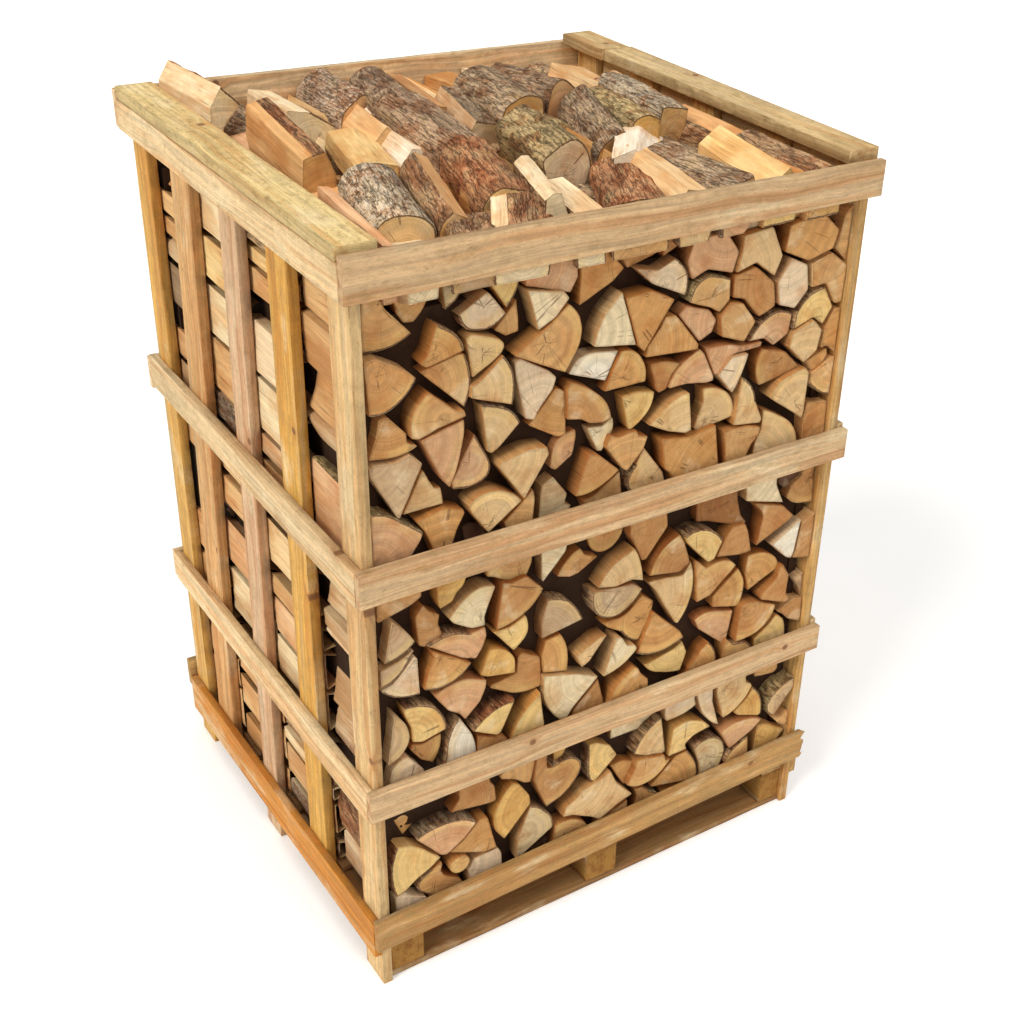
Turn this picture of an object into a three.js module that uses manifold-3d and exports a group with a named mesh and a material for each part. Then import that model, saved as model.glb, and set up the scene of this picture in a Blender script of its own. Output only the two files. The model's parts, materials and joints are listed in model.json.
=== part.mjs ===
// Crate of firewood: a slatted timber crate on a block pallet, filled with four rows of split logs.
// Millimetres, +Z up, front towards -Y. The origin is at the middle of the footprint, on the ground.

import * as THREE from "three";
import { mergeVertices } from "three/addons/utils/BufferGeometryUtils.js";
import Module from "manifold-3d";

// Overall size
const WIDTH = 1150;
const DEPTH = 1050;
const HEIGHT = 1650;

// Board sections
const RAIL_THICK = 17;
const SLAT_THICK = 21;
const CAP_THICK = 25;
const CAP_WIDE = 77;
const GAP = 0.3;

// Planes that the boards share
const RAIL_OUT_X = WIDTH / 2;
const SLAT_OUT_X = RAIL_OUT_X - RAIL_THICK - GAP;
const SLAT_IN_X = SLAT_OUT_X - SLAT_THICK;
const RAIL_OUT_Y = DEPTH / 2;
const SLAT_OUT_Y = RAIL_OUT_Y - RAIL_THICK - GAP;
const CAP_BOTTOM = HEIGHT - CAP_THICK;
const SLAT_TOP = CAP_BOTTOM - GAP;

// Finishes
const finish = (color) => new THREE.MeshStandardMaterial({ color, roughness: 0.8, metalness: 0 });
const PALE_PINE = 0xd9bb88;
const AMBER_PINE = 0xd99b4e;
const BROWN_PINE = 0xa9743f;
const SPLIT_WOOD = 0xc99f6e;

const crate = new THREE.Group();

function add(name, geometry, color) {
  const mesh = new THREE.Mesh(geometry, finish(color));
  mesh.name = name;
  crate.add(mesh);
}

// A flat board: its outline lies in the plane across `axis`, and it runs from `low` to `high` along that axis
function board(name, axis, low, high, outline, color) {
  const shape = new THREE.Shape(outline.map(([u, v]) => new THREE.Vector2(u, v)));
  const geometry = new THREE.ExtrudeGeometry(shape, { depth: high - low, bevelEnabled: false });
  const turn = new THREE.Matrix4();
  if (axis === "x") {
    turn.set(0, 0, 1, low, 1, 0, 0, 0, 0, 1, 0, 0, 0, 0, 0, 1);
  } else if (axis === "y") {
    turn.set(1, 0, 0, 0, 0, 0, -1, high, 0, 1, 0, 0, 0, 0, 0, 1);
  } else {
    turn.set(1, 0, 0, 0, 0, 1, 0, 0, 0, 0, 1, low, 0, 0, 0, 1);
  }
  add(name, geometry.applyMatrix4(turn), color);
}

const rectangle = (u0, u1, v0, v1) => [[u0, v0], [u1, v0], [u1, v1], [u0, v1]];

// Upright slats, from the back corner to the front corner: middle at the top and at the foot, and width.
// The corner and middle slats are the crate's feet, and the others stop at the lowest side board.
const FEET = [0, 2, 4];
const SHORT_FOOT = 80;
const CORNER_Y = SLAT_OUT_Y;
const SLATS = {
  left: [[444, 469, 76], [223, 325, 96], [-10, 62, 80], [-224, -205, 88], [41 - CORNER_Y, 41 - CORNER_Y, 82]],
  right: [[460, 466, 78], [236, 246, 90], [6, -12, 82], [-226, -240, 92], [40 - CORNER_Y, 40 - CORNER_Y, 80]],
};
for (const [side, slats] of Object.entries(SLATS)) {
  const low = side === "left" ? -SLAT_OUT_X : SLAT_IN_X;
  slats.forEach(([top, foot, wide], i) => {
    const bottom = FEET.includes(i) ? 0 : SHORT_FOOT;
    const half = wide / 2;
    const outline = [[foot - half, bottom], [foot + half, bottom], [top + half, SLAT_TOP], [top - half, SLAT_TOP]];
    board(`slat_${side}_${i + 1}`, "x", low, low + SLAT_THICK, outline, AMBER_PINE);
  });
}

// Horizontal boards, top to bottom: lower and upper edge at one end, then at the other.
// Side boards go from front to back, and front and back boards from left to right.
const RAILS = {
  left: [[1558, SLAT_TOP, 1560, SLAT_TOP], [976, 1052, 984, 1060], [466, 543, 465, 541], [90, 185, 71, 168]],
  right: [[1558, SLAT_TOP, 1556, SLAT_TOP], [979, 1054, 972, 1048], [470, 545, 474, 548], [84, 176, 78, 170]],
  front: [[1558, 1640, 1558, 1631], [980, 1055, 977, 1046], [474, 547, 469, 534], [118, 199, 144, 221]],
  back: [[1562, 1641, 1556, 1630], [974, 1050, 980, 1056], [470, 541, 466, 540], [140, 215, 122, 200]],
};
const railColor = (side, i) => (i === 3 ? (side === "left" ? AMBER_PINE : BROWN_PINE) : PALE_PINE);
for (const [side, rails] of Object.entries(RAILS)) {
  rails.forEach(([low0, high0, low1, high1], i) => {
    const name = `rail_${side}_${i + 1}`;
    if (side === "left" || side === "right") {
      const outline = [[-SLAT_OUT_Y, low0], [SLAT_OUT_Y, low1], [SLAT_OUT_Y, high1], [-SLAT_OUT_Y, high0]];
      const low = side === "left" ? -RAIL_OUT_X : RAIL_OUT_X - RAIL_THICK;
      board(name, "x", low, low + RAIL_THICK, outline, railColor(side, i));
    } else {
      const outline = [[-RAIL_OUT_X, low0], [RAIL_OUT_X, low1], [RAIL_OUT_X, high1], [-RAIL_OUT_X, high0]];
      const low = side === "front" ? -RAIL_OUT_Y : RAIL_OUT_Y - RAIL_THICK;
      board(name, "y", low, low + RAIL_THICK, outline, railColor(side, i));
    }
  });
}

// Cap boards, lying flat on the side boards and the slats: one on the left, two end to end on the right
const CAP_FRONT = -500;
const CAP_BACK = 503;
const CAP_JOINT = 335;
const REAR_CAP_SHIFT = 5;
const capIn = RAIL_OUT_X - CAP_WIDE;
board("cap_left", "z", CAP_BOTTOM, HEIGHT, rectangle(-RAIL_OUT_X, -capIn, CAP_FRONT, CAP_BACK), PALE_PINE);
board("cap_right_front", "z", CAP_BOTTOM, HEIGHT, rectangle(capIn, RAIL_OUT_X, CAP_FRONT, CAP_JOINT), PALE_PINE);
board("cap_right_rear", "z", CAP_BOTTOM, HEIGHT,
  rectangle(capIn - REAR_CAP_SHIFT, RAIL_OUT_X - REAR_CAP_SHIFT, CAP_JOINT + GAP, CAP_BACK), PALE_PINE);

// Pallet: skids on the ground, blocks, boards across the blocks, deck
const PALLET_X = SLAT_IN_X - GAP;
const PALLET_Y = 497;
const SKID_THICK = 16;
const SKID_WIDE = 98;
const BLOCK_TALL = 84;
const PALLET_BOARD = 16;
const DECK_WIDE = 100;
const COLUMNS = { left: [-PALLET_X, -455], middle: [-36, 46], right: [476, PALLET_X] };
const ROWS = {
  front: [-PALLET_Y, SKID_WIDE - PALLET_Y],
  middle: [-SKID_WIDE / 2, SKID_WIDE / 2],
  back: [PALLET_Y - SKID_WIDE, PALLET_Y],
};
const blockLow = SKID_THICK + GAP;
const crossLow = blockLow + BLOCK_TALL + GAP;
const deckLow = crossLow + PALLET_BOARD + GAP;
const DECK_TOP = deckLow + PALLET_BOARD;
for (const [row, [y0, y1]] of Object.entries(ROWS)) {
  board(`skid_${row}`, "z", 0, SKID_THICK, rectangle(-PALLET_X, PALLET_X, y0, y1), BROWN_PINE);
  for (const [column, [x0, x1]] of Object.entries(COLUMNS)) {
    board(`block_${row}_${column}`, "z", blockLow, blockLow + BLOCK_TALL, rectangle(x0, x1, y0, y1), AMBER_PINE);
  }
}
for (const [column, [x0, x1]] of Object.entries(COLUMNS)) {
  board(`cross_board_${column}`, "z", crossLow, crossLow + PALLET_BOARD,
    rectangle(x0, x1, -PALLET_Y, PALLET_Y), BROWN_PINE);
}
const DECK_BOARDS = 5;
for (let i = 0; i < DECK_BOARDS; i++) {
  const y = (PALLET_Y - DECK_WIDE / 2) * (2 * i / (DECK_BOARDS - 1) - 1);
  board(`deck_board_${i + 1}`, "z", deckLow, DECK_TOP,
    rectangle(-PALLET_X, PALLET_X, y - DECK_WIDE / 2, y + DECK_WIDE / 2), BROWN_PINE);
}

// Firewood
const ROW_COUNT = 4;
const STACK_X = SLAT_IN_X - GAP;
const STACK_Y = RAIL_OUT_Y - RAIL_THICK - GAP;
const STACK_LOW = DECK_TOP + GAP;
const STACK_TOP = 1572;
const ROW_DEEP = (2 * STACK_Y + GAP) / ROW_COUNT;
const CORE_TOP = 1556;
const CORE_IN = 55;
const CORE_SIDE = 34;
const END_REACH = 90;
const COARSE = 16;
const BIG_END = 5600;
const ROOM = 1.5;

const wasm = await Module();
wasm.setup();
const { Manifold } = wasm;

// Ends of the logs as seen from the front: how far the end is set back, then its corners "x,z"
const ENDS = [
  "25: -537,1570 -505,1560 -446,1481 -463,1468 -537,1463",
  "35: -484,1570 -395,1570 -443,1499 -463,1501",
  "30: -392,1565 -344,1565 -349,1532 -385,1507",
  "0: -401,1488 -358,1461 -348,1428 -421,1411 -434,1420",
  "12: -437,1408 -347,1422 -334,1372 -350,1320",
  "6: -537,1448 -514,1450 -440,1399 -497,1344 -531,1347",
  "15: -361,1495 -302,1527 -264,1478 -295,1453 -347,1461",
  "20: -304,1545 -280,1570 -236,1570 -238,1530 -266,1487",
  "20: -292,1453 -246,1503 -240,1440 -268,1436",
  "8: -347,1450 -336,1457 -269,1434 -271,1407 -333,1372",
  "4: -336,1357 -271,1403 -250,1370 -252,1301 -337,1334",
  "0: -225,1513 -150,1497 -137,1482 -201,1431",
  "10: -232,1565 -122,1565 -120,1518 -136,1490 -231,1521",
  "4: -252,1396 -137,1471 -105,1425 -108,1389 -142,1338",
  "8: -119,1562 -60,1556 -21,1515 -118,1461",
  "30: -50,1565 45,1565 47,1530 -18,1513",
  "8: -1,1511 52,1498 92,1515 120,1490 119,1434 40,1472",
  "0: -23,1471 13,1358 -83,1375 -61,1434",
  "2: -17,1457 41,1460 96,1433 31,1340",
  "4: 77,1402 101,1401 157,1318 36,1326",
  "14: -106,1370 -26,1357 -53,1300 -137,1334",
  "8: 105,1399 125,1414 180,1395 200,1370 190,1345 160,1332",
  "10: -514,1339 -498,1340 -462,1300 -462,1282 -441,1270 -484,1256 -537,1265",
  "4: -419,1368 -346,1303 -454,1284 -443,1351",
  "3: -537,1249 -457,1257 -432,1232 -481,1136",
  "14: -434,1222 -412,1178 -399,1177 -394,1140 -476,1140",
  "6: -437,1278 -350,1299 -345,1286 -381,1168",
  "12: -331,1266 -293,1195 -307,1161 -374,1162 -378,1178",
  "10: -318,1318 -240,1279 -234,1262 -295,1215",
  "5: -249,1382 -238,1390 -160,1335 -207,1260 -226,1266",
  "18: -163,1315 -142,1304 -136,1211 -155,1210 -220,1252",
  "0: -276,1193 -176,1197 -171,1180 -225,1099 -281,1182",
  "3: -537,1160 -436,1096 -486,1011 -537,1011",
  "7: -452,1120 -393,1132 -352,1117 -388,1011 -403,1011",
  "2: -345,1121 -338,1133 -278,1139 -228,1098 -302,1050",
  "35: -360,1080 -318,1080 -306,1052 -330,1011 -345,1011",
  "6: -270,1062 -206,1117 -209,1011 -247,1011",
  "12: -190,1119 -164,1133 -129,1084 -134,1064 -118,1056 -145,1011 -197,1011",
  "8: -128,1317 -52,1267 -35,1221 -85,1220 -136,1241",
  "24: -160,1209 -115,1218 -121,1165 -158,1142 -171,1150",
  "0: -83,1158 -11,1103 -42,1081 -112,1070",
  "20: -92,1215 -56,1210 -32,1222 -25,1197 -55,1155",
  "5: -23,1356 1,1358 29,1334 40,1277 -55,1278",
  "12: -15,1259 62,1253 36,1196 8,1181",
  "14: 48,1310 122,1297 90,1250 72,1245",
  "7: 165,1318 203,1241 92,1252 102,1276",
  "2: 53,1180 136,1234 149,1229 158,1145",
  "9: -45,1158 -35,1184 27,1178 53,1160 8,1093",
  "6: 44,1138 96,1068 112,1011 60,1011 3,1054",
  "3: 86,1143 160,1130 222,1140 243,1011 140,1011 98,1072",
  "10: -9,1100 -8,1011 -73,1011 -95,1057",
  "8: 176,1316 322,1298 318,1287 250,1286 215,1250",
  "5: 246,1283 288,1281 255,1200 214,1249",
  "11: 178,1231 254,1200 264,1150 172,1136 163,1147 182,1198",
  "3: 277,1231 296,1222 337,1113 264,1126",
  "9: 306,1262 320,1284 385,1263 430,1218 323,1200",
  "2: 354,1166 370,1196 444,1215 456,1200 452,1094",
  "14: 441,1228 497,1246 501,1230 471,1198",
  "6: 460,1196 537,1222 537,1131 496,1139 459,1172",
  "7: 342,1143 420,1100 444,1062 449,1011 320,1011",
  "4: 240,1121 339,1106 294,1011 256,1011",
  "10: 461,1129 537,1110 537,1011 458,1011",
  "5: 205,1375 215,1330 275,1306 300,1345 262,1392 230,1400",
  "9: 305,1342 280,1306 325,1303 350,1282 388,1300 392,1345 350,1362",
  "3: 392,1268 438,1224 470,1246 478,1290 452,1318 398,1300",
  "12: 478,1248 537,1228 537,1330 505,1330",
  "7: 398,1348 396,1306 450,1322 478,1300 500,1335 470,1385 430,1380",
  "4: 128,1418 205,1382 228,1405 225,1450 170,1470 140,1455",
  "8: 232,1452 234,1406 264,1398 305,1352 345,1368 335,1420 285,1462",
  "3: 342,1418 352,1368 395,1352 428,1386 418,1440 375,1462",
  "9: 425,1440 434,1388 472,1390 505,1340 537,1340 537,1420 480,1455",
  "5: 133,1462 168,1476 228,1458 240,1500 205,1545 130,1540 118,1500",
  "2: 236,1456 285,1468 335,1430 352,1470 320,1535 246,1530",
  "6: 355,1475 420,1446 480,1461 490,1500 440,1545 360,1530",
  "10: 485,1460 537,1428 537,1545 500,1530",
  "20: 60,1572 120,1572 124,1548 60,1520",
  "14: 215,1572 345,1572 325,1541 246,1538 208,1552",
  "16: 352,1572 485,1572 482,1530 440,1550 358,1540",
  "22: -534,1004 -445,1004 -442,957 -534,928",
  "3: -525,834 -480,840 -456,860 -505,926",
  "6: -534,822 -460,843 -495,792 -534,781",
  "9: -455,825 -451,735 -483,736 -532,768",
  "12: -458,916 -440,938 -406,906 -401,858 -440,841 -453,849",
  "8: -414,1004 -340,1004 -350,955 -378,922 -405,913",
  "0: -389,888 -312,941 -285,927 -307,843 -338,847",
  "4: -436,841 -372,853 -307,841 -330,773",
  "2: -427,829 -338,769 -369,739 -431,730 -443,740 -421,808",
  "13: -310,1004 -202,1004 -217,929 -250,925 -306,953",
  "5: -272,932 -217,928 -176,884 -202,847 -285,823",
  "8: -293,822 -254,820 -217,836 -206,809 -214,783 -245,760",
  "3: -300,785 -277,785 -245,756 -239,703 -321,728",
  "15: -186,1004 -120,1004 -128,955 -180,899",
  "16: -149,902 -110,953 -50,917 -118,890",
  "34: -85,1004 8,1004 6,950 -44,920 -79,950",
  "18: 18,1004 112,1004 120,934 67,871 55,873 22,945",
  "0: -49,840 -9,887 39,908 63,822",
  "4: -62,836 41,822 67,800 12,751 -40,764 -59,785",
  "9: 65,786 96,760 60,672 -38,752 30,755",
  "2: 79,826 96,871 153,906 184,826 158,811",
  "1: 163,894 215,902 270,854 251,812 234,808",
  "16: 187,1004 297,1004 309,906 327,882 308,878 191,921",
  "6: 254,816 292,880 327,879 352,801",
  "10: 315,1004 402,1004 404,950 430,897 321,932",
  "3: 342,922 428,893 461,860 363,809 374,880",
  "20: 433,911 446,940 472,952 478,1004 507,1004 513,877 458,885",
  "26: 405,1004 470,1004 465,952 425,935 408,950",
  "2: 407,798 487,840 473,741 456,749",
  "7: 489,826 528,847 534,728 475,741",
  "12: 342,792 373,793 427,764 437,731 352,697",
  "5: 197,822 230,798 301,795 316,776 248,719 211,714",
  "10: 318,770 339,740 336,664 257,686 252,718",
  "1: 390,672 436,704 440,730 452,733 473,700 470,651 484,632 470,624 394,658",
  "4: 337,661 356,665 445,628 439,598 399,570 330,568",
  "14: 484,686 534,694 534,627 505,655",
  "8: 449,606 494,627 534,620 534,553",
  "11: 385,556 446,602 470,588 485,505 395,505",
  "15: 207,671 220,683 318,658 304,572 222,641",
  "6: 308,583 327,563 366,560 385,543 385,505 301,505",
  "3: 203,545 256,596 281,560 284,505 200,505",
  "9: 76,606 89,599 180,628 195,594 182,546 96,573",
  "5: 97,733 184,635 120,616 60,636",
  "7: 76,812 167,800 186,830 196,739 163,677",
  "0: 5,702 60,653 1,608 -24,607",
  "6: -96,690 -37,718 -18,716 -80,654",
  "13: -171,757 -135,762 -114,715 -116,661 -175,677",
  "18: -225,750 -182,722 -176,648 -245,653 -300,690 -238,703",
  "4: -173,670 -37,618 -115,530 -137,540 -168,598",
  "10: -38,612 -18,505 -105,505 -97,552",
  "1: 3,566 55,606 96,558 100,505 -6,505",
  "5: -393,613 -368,646 -338,591 -325,505 -403,505",
  "8: -425,723 -365,738 -305,714 -319,665 -354,632",
  "2: -488,716 -412,687 -395,630 -450,618 -472,626",
  "6: -526,588 -493,601 -475,627 -475,661 -508,710",
  "11: -479,611 -472,622 -409,625 -428,555",
  "7: -514,588 -480,595 -448,549 -440,505 -526,505",
  "0: -339,596 -307,627 -238,638 -281,562",
  "9: -326,580 -255,543 -252,505 -322,505",
  "3: -250,545 -226,592 -180,634 -167,505 -250,505",
  "12: -180,762 -168,857 -116,838 -81,778",
  "38: -522,498 -455,498 -466,428 -502,401 -521,448",
  "1: -472,372 -412,387 -354,377 -328,354 -402,296",
  "8: -324,356 -303,354 -281,258 -312,257 -396,297",
  "4: -515,372 -483,361 -415,297 -521,239 -531,325",
  "9: -523,234 -500,243 -450,203 -446,134 -523,134",
  "6: -473,260 -415,288 -407,242 -363,200 -360,134 -441,134 -444,204 -473,225",
  "2: -402,256 -395,273 -345,270 -346,237 -374,224",
  "11: -338,252 -277,254 -266,134 -350,134 -354,228",
  "5: -243,421 -201,367 -198,342 -262,269 -288,304 -287,361",
  "10: -375,498 -300,498 -281,389 -392,407 -371,437",
  "14: -275,498 -186,498 -198,399 -273,441",
  "3: -184,498 -161,498 -157,421 -106,431 -73,411 -69,379 -118,320 -158,309 -191,400",
  "18: -147,498 -105,498 -112,445 -143,421",
  "7: -54,438 3,415 23,380 -37,323 -48,328",
  "2: -116,262 -109,289 10,338 75,240 -15,206",
  "12: -15,204 60,232 60,134 -20,134",
  "5: -135,246 -90,248 -49,218 -40,134 -135,134",
  "8: -199,335 -140,282 -137,246 -234,197 -231,251",
  "40: -225,196 -143,236 -143,134 -225,134",
  "4: 140,436 155,323 66,360 86,401",
  "1: 79,337 158,320 162,300 176,299 132,258 72,256 56,273",
  "13: 5,354 36,357 75,339 53,280",
  "28: 0,498 118,498 122,441 105,425 2,429",
  "9: 147,498 230,498 238,429 153,416",
  "6: 236,498 283,498 285,420 308,343 256,392 237,440",
  "3: 175,386 215,396 263,375 285,346 215,323 222,307 168,306",
  "7: 122,242 190,303 222,305 258,242 260,201",
  "11: 78,250 101,250 148,217 154,134 80,134",
  "15: 160,205 262,196 272,134 160,134",
  "5: 242,300 289,316 322,299 339,270 326,217 330,134 276,134",
  "2: 318,313 356,328 418,322 442,304 351,250",
  "8: 293,498 375,498 380,436 400,418 382,387 318,356 294,436",
  "4: 401,417 430,385 437,321 349,361",
  "0: 447,328 454,354 501,388 534,392 534,362 472,298",
  "26: 400,498 470,498 473,440 462,430 402,440",
  "42: 482,498 534,498 534,402 485,445",
  "9: 430,286 444,290 523,238 500,217 496,134 424,134",
  "5: 351,244 405,270 411,134 338,134 345,205 335,220",
];

function readEnd(text) {
  const [setBack, corners] = text.split(": ");
  return { setBack: Number(setBack), outline: corners.split(" ").map((corner) => corner.split(",").map(Number)) };
}

// A closed three.js shape as a solid that can be joined and cut
function toSolid(geometry) {
  geometry.deleteAttribute("normal");
  geometry.deleteAttribute("uv");
  const merged = mergeVertices(geometry);
  const vertProperties = new Float32Array(merged.attributes.position.array);
  const triVerts = new Uint32Array(merged.index.array);
  return new Manifold(new wasm.Mesh({ numProp: 3, vertProperties, triVerts }));
}

// A straight log of any section, from y0 to y1. Its rear end is moved by dx and dz.
function log(outline, y0, y1, dx = 0, dz = 0) {
  const shape = new THREE.Shape(outline.map(([x, z]) => new THREE.Vector2(x, z)));
  const deep = y1 - y0;
  const geometry = new THREE.ExtrudeGeometry(shape, { depth: deep, bevelEnabled: false });
  const place = new THREE.Matrix4();
  place.set(1, 0, -dx / deep, dx, 0, 0, -1, y1, 0, 1, -dz / deep, dz, 0, 0, 0, 1);
  return toSolid(geometry.applyMatrix4(place));
}

function box(x0, x1, y0, y1, z0, z1) {
  const geometry = new THREE.BoxGeometry(x1 - x0, y1 - y0, z1 - z0);
  return toSolid(geometry.translate((x0 + x1) / 2, (y0 + y1) / 2, (z0 + z1) / 2));
}

function area(outline) {
  const crossed = outline.map(([x, z], i) => {
    const [nextX, nextZ] = outline[(i + 1) % outline.length];
    return x * nextZ - nextX * z;
  });
  return Math.abs(crossed.reduce((sum, part) => sum + part, 0)) / 2;
}

// The outline without the corners that stand out from the line between their neighbours by less than the tolerance
function thinned(outline, tolerance) {
  const corners = [...outline];
  while (corners.length > 3) {
    const standing = corners.map((corner, i) => {
      const before = corners.at(i - 1);
      const after = corners[(i + 1) % corners.length];
      return (2 * area([before, corner, after])) / Math.hypot(after[0] - before[0], after[1] - before[1]);
    });
    const least = standing.indexOf(Math.min(...standing));
    if (standing[least] > tolerance) {
      break;
    }
    corners.splice(least, 1);
  }
  return corners;
}

// The outline with every corner moved straight out from its middle
function grown(outline, by) {
  const middleX = outline.reduce((sum, [x]) => sum + x, 0) / outline.length;
  const middleZ = outline.reduce((sum, [, z]) => sum + z, 0) / outline.length;
  return outline.map(([x, z]) => {
    const far = Math.hypot(x - middleX, z - middleZ);
    const scale = 1 + by / far;
    return [middleX + scale * (x - middleX), middleZ + scale * (z - middleZ)];
  });
}

// An end that is set back is seen farther off, past its neighbours, so it is drawn larger about this point
const VIEW = [-1490, -2540, 2510];
function setBackOutline(outline, setBack) {
  const far = 1 + setBack / (-STACK_Y - VIEW[1]);
  return outline.map(([x, z]) => [VIEW[0] + far * (x - VIEW[0]), VIEW[2] + far * (z - VIEW[2])]);
}

// Small differences that keep every end at its own depth
const GOLDEN = 0.618034;
const unevenness = (i) => 1 + 7 * ((i * GOLDEN) % 1);

// Logs along the left and right edges of the rows behind the first: lower and upper edge of the outer face
const EDGES = [
  [[138, 210], [240, 330], [345, 470], [512, 630], [648, 765], [805, 880], [895, 1008], [1020, 1085], [1092, 1213],
    [1218, 1330], [1345, 1436], [1444, 1530]],
  [[150, 200], [205, 318], [345, 500], [506, 600], [604, 728], [732, 842], [860, 1000], [1010, 1120], [1125, 1180],
    [1186, 1272], [1276, 1312], [1330, 1395], [1402, 1490], [1500, 1570]],
  [[140, 190], [215, 300], [310, 345], [350, 480], [500, 600], [606, 700], [706, 760], [790, 900], [910, 1040],
    [1052, 1100], [1105, 1225], [1230, 1345], [1395, 1450], [1455, 1490], [1500, 1560]],
];
const EDGE_DEEP = 95;
function edgeLog([low, high], side) {
  const middle = (low + high) / 2;
  const inner = STACK_X - EDGE_DEEP;
  const corners = [[STACK_X, low + 1], [STACK_X, high - 1], [inner, middle]];
  return corners.map(([x, z]) => [side * x, z]);
}

// Bigger logs lying askew on the top: row, front end, length, shift of the rear end sideways and up,
// then the corners of the front end
const LENGTH = 254;
const TOP_LOGS = [
  [1, -490, LENGTH, 8, 18, [[-488, 1636], [-464, 1632], [-460, 1530], [-488, 1530]]],
  [1, -505, 180, 0, -45, [[-458, 1630], [-384, 1627], [-395, 1530], [-452, 1530]]],
  [1, -430, LENGTH, 60, 5, [[-478, 1625], [-455, 1652], [-422, 1657], [-378, 1648], [-352, 1622], [-365, 1530],
    [-465, 1530]]],
  [1, -430, LENGTH, 60, 22, [[-357, 1590], [-352, 1627], [-324, 1645], [-292, 1629], [-285, 1530], [-345, 1530]]],
  [1, -505, 105, 50, -14, [[-379, 1634], [-351, 1640], [-276, 1635], [-280, 1530], [-370, 1530]]],
  [1, -505, 205, 116, 0, [[-296, 1634], [-262, 1636], [-227, 1634], [-165, 1630], [-180, 1530], [-290, 1530]]],
  [1, -480, LENGTH, 92, -22, [[-178, 1656], [-160, 1668], [-142, 1666], [-122, 1610], [-135, 1530], [-180, 1540]]],
  [1, -505, 180, 30, 0, [[-130, 1632], [-70, 1632], [-60, 1530], [-125, 1530]]],
  [1, -505, LENGTH, 120, -12, [[-56, 1630], [0, 1640], [69, 1630], [75, 1530], [-50, 1530]]],
  [1, -505, LENGTH, 40, 5, [[85, 1600], [110, 1640], [160, 1628], [178, 1560], [165, 1530], [95, 1530]]],
  [1, -505, LENGTH, -20, 0, [[188, 1560], [200, 1625], [262, 1642], [288, 1570], [250, 1530], [195, 1530]]],
  [1, -500, 246, 25, 10, [[295, 1530], [300, 1610], [350, 1645], [388, 1600], [380, 1530]]],
  [1, -505, LENGTH, 0, 0, [[398, 1530], [405, 1620], [455, 1638], [490, 1600], [485, 1530]]],
  [2, -370, LENGTH, 55, 15, [[-236, 1596], [-233, 1626], [-198, 1652], [-140, 1636], [-145, 1530], [-228, 1530]]],
  [2, -130, LENGTH, 4, 30, [[-457, 1664], [-408, 1675], [-390, 1627], [-400, 1530], [-450, 1530], [-462, 1610]]],
  [2, -110, LENGTH, 65, -12, [[-357, 1600], [-350, 1631], [-297, 1632], [-256, 1620], [-262, 1530], [-345, 1530]]],
  [2, -250, LENGTH, 48, -8, [[-41, 1639], [12, 1668], [41, 1674], [68, 1643], [75, 1610], [45, 1530], [-10, 1530]]],
  [2, -300, 200, 148, -20, [[80, 1662], [212, 1601], [200, 1530], [95, 1530]]],
  [2, -150, LENGTH, 72, 20, [[150, 1590], [165, 1612], [220, 1640], [240, 1600], [235, 1530], [160, 1530]]],
  [2, -130, LENGTH, 50, -12, [[245, 1600], [250, 1646], [290, 1655], [325, 1638], [322, 1530], [255, 1530]]],
  [2, -100, LENGTH, 20, 5, [[335, 1610], [345, 1655], [418, 1640], [410, 1600], [396, 1530], [350, 1530]]],
  [2, -254, 250, 0, 0, [[-485, 1530], [-480, 1598], [-390, 1606], [-372, 1530]]],
  [2, -254, 250, 10, 0, [[400, 1530], [405, 1600], [470, 1618], [492, 1590], [485, 1530]]],
  [3, -50, LENGTH, 30, 8, [[-230, 1592], [-200, 1628], [-151, 1616], [-148, 1530], [-225, 1530]]],
  [3, 40, LENGTH, 60, 0, [[-30, 1600], [-10, 1632], [40, 1620], [52, 1530], [-20, 1530]]],
  [3, 100, LENGTH, 30, -4, [[80, 1600], [90, 1632], [140, 1652], [190, 1642], [197, 1530], [92, 1530]]],
  [3, 0, 250, 0, 0, [[-488, 1530], [-482, 1596], [-400, 1606], [-370, 1530]]],
  [3, 60, 190, 20, 0, [[-235, 1560], [-222, 1608], [-178, 1648], [-162, 1600], [-165, 1530], [-225, 1530]]],
  [3, 5, 245, 0, 10, [[402, 1530], [410, 1606], [466, 1620], [490, 1590], [485, 1530]]],
  [4, 235, LENGTH, -8, -8, [[-456, 1703], [-416, 1662], [-455, 1620], [-470, 1530], [-486, 1530], [-482, 1664]]],
  [4, 200, LENGTH, 24, -25, [[-350, 1590], [-340, 1652], [-290, 1642], [-238, 1608], [-240, 1530], [-340, 1530]]],
  [4, 220, LENGTH, 15, -10, [[-222, 1590], [-215, 1625], [-161, 1663], [-132, 1640], [-140, 1530], [-215, 1530]]],
  [4, 134, LENGTH, 60, -20, [[-184, 1640], [-180, 1668], [-140, 1685], [-96, 1676], [-95, 1530], [-175, 1530]]],
  [4, 150, LENGTH, 30, 0, [[-60, 1600], [-50, 1640], [-12, 1632], [-8, 1530], [-50, 1530]]],
  [4, 120, LENGTH, -5, -25, [[205, 1590], [215, 1650], [245, 1673], [285, 1640], [292, 1530], [215, 1530]]],
  [4, 120, LENGTH, 25, -5, [[342, 1600], [352, 1632], [440, 1612], [468, 1590], [468, 1530], [350, 1530]]],
  [4, 300, 200, 0, 0, [[-30, 1530], [-20, 1590], [60, 1605], [90, 1530]]],
];

// The biggest single piece of the solid, as a mesh
function addSolid(name, solid) {
  const pieces = solid.decompose();
  const biggest = pieces.reduce((a, b) => (a.volume() > b.volume() ? a : b));
  const { vertProperties, triVerts } = biggest.getMesh();
  const geometry = new THREE.BufferGeometry();
  geometry.setAttribute("position", new THREE.BufferAttribute(new Float32Array(vertProperties), 3));
  geometry.setIndex(new THREE.BufferAttribute(new Uint32Array(triVerts), 1));
  add(name, geometry, SPLIT_WOOD);
}

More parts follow.
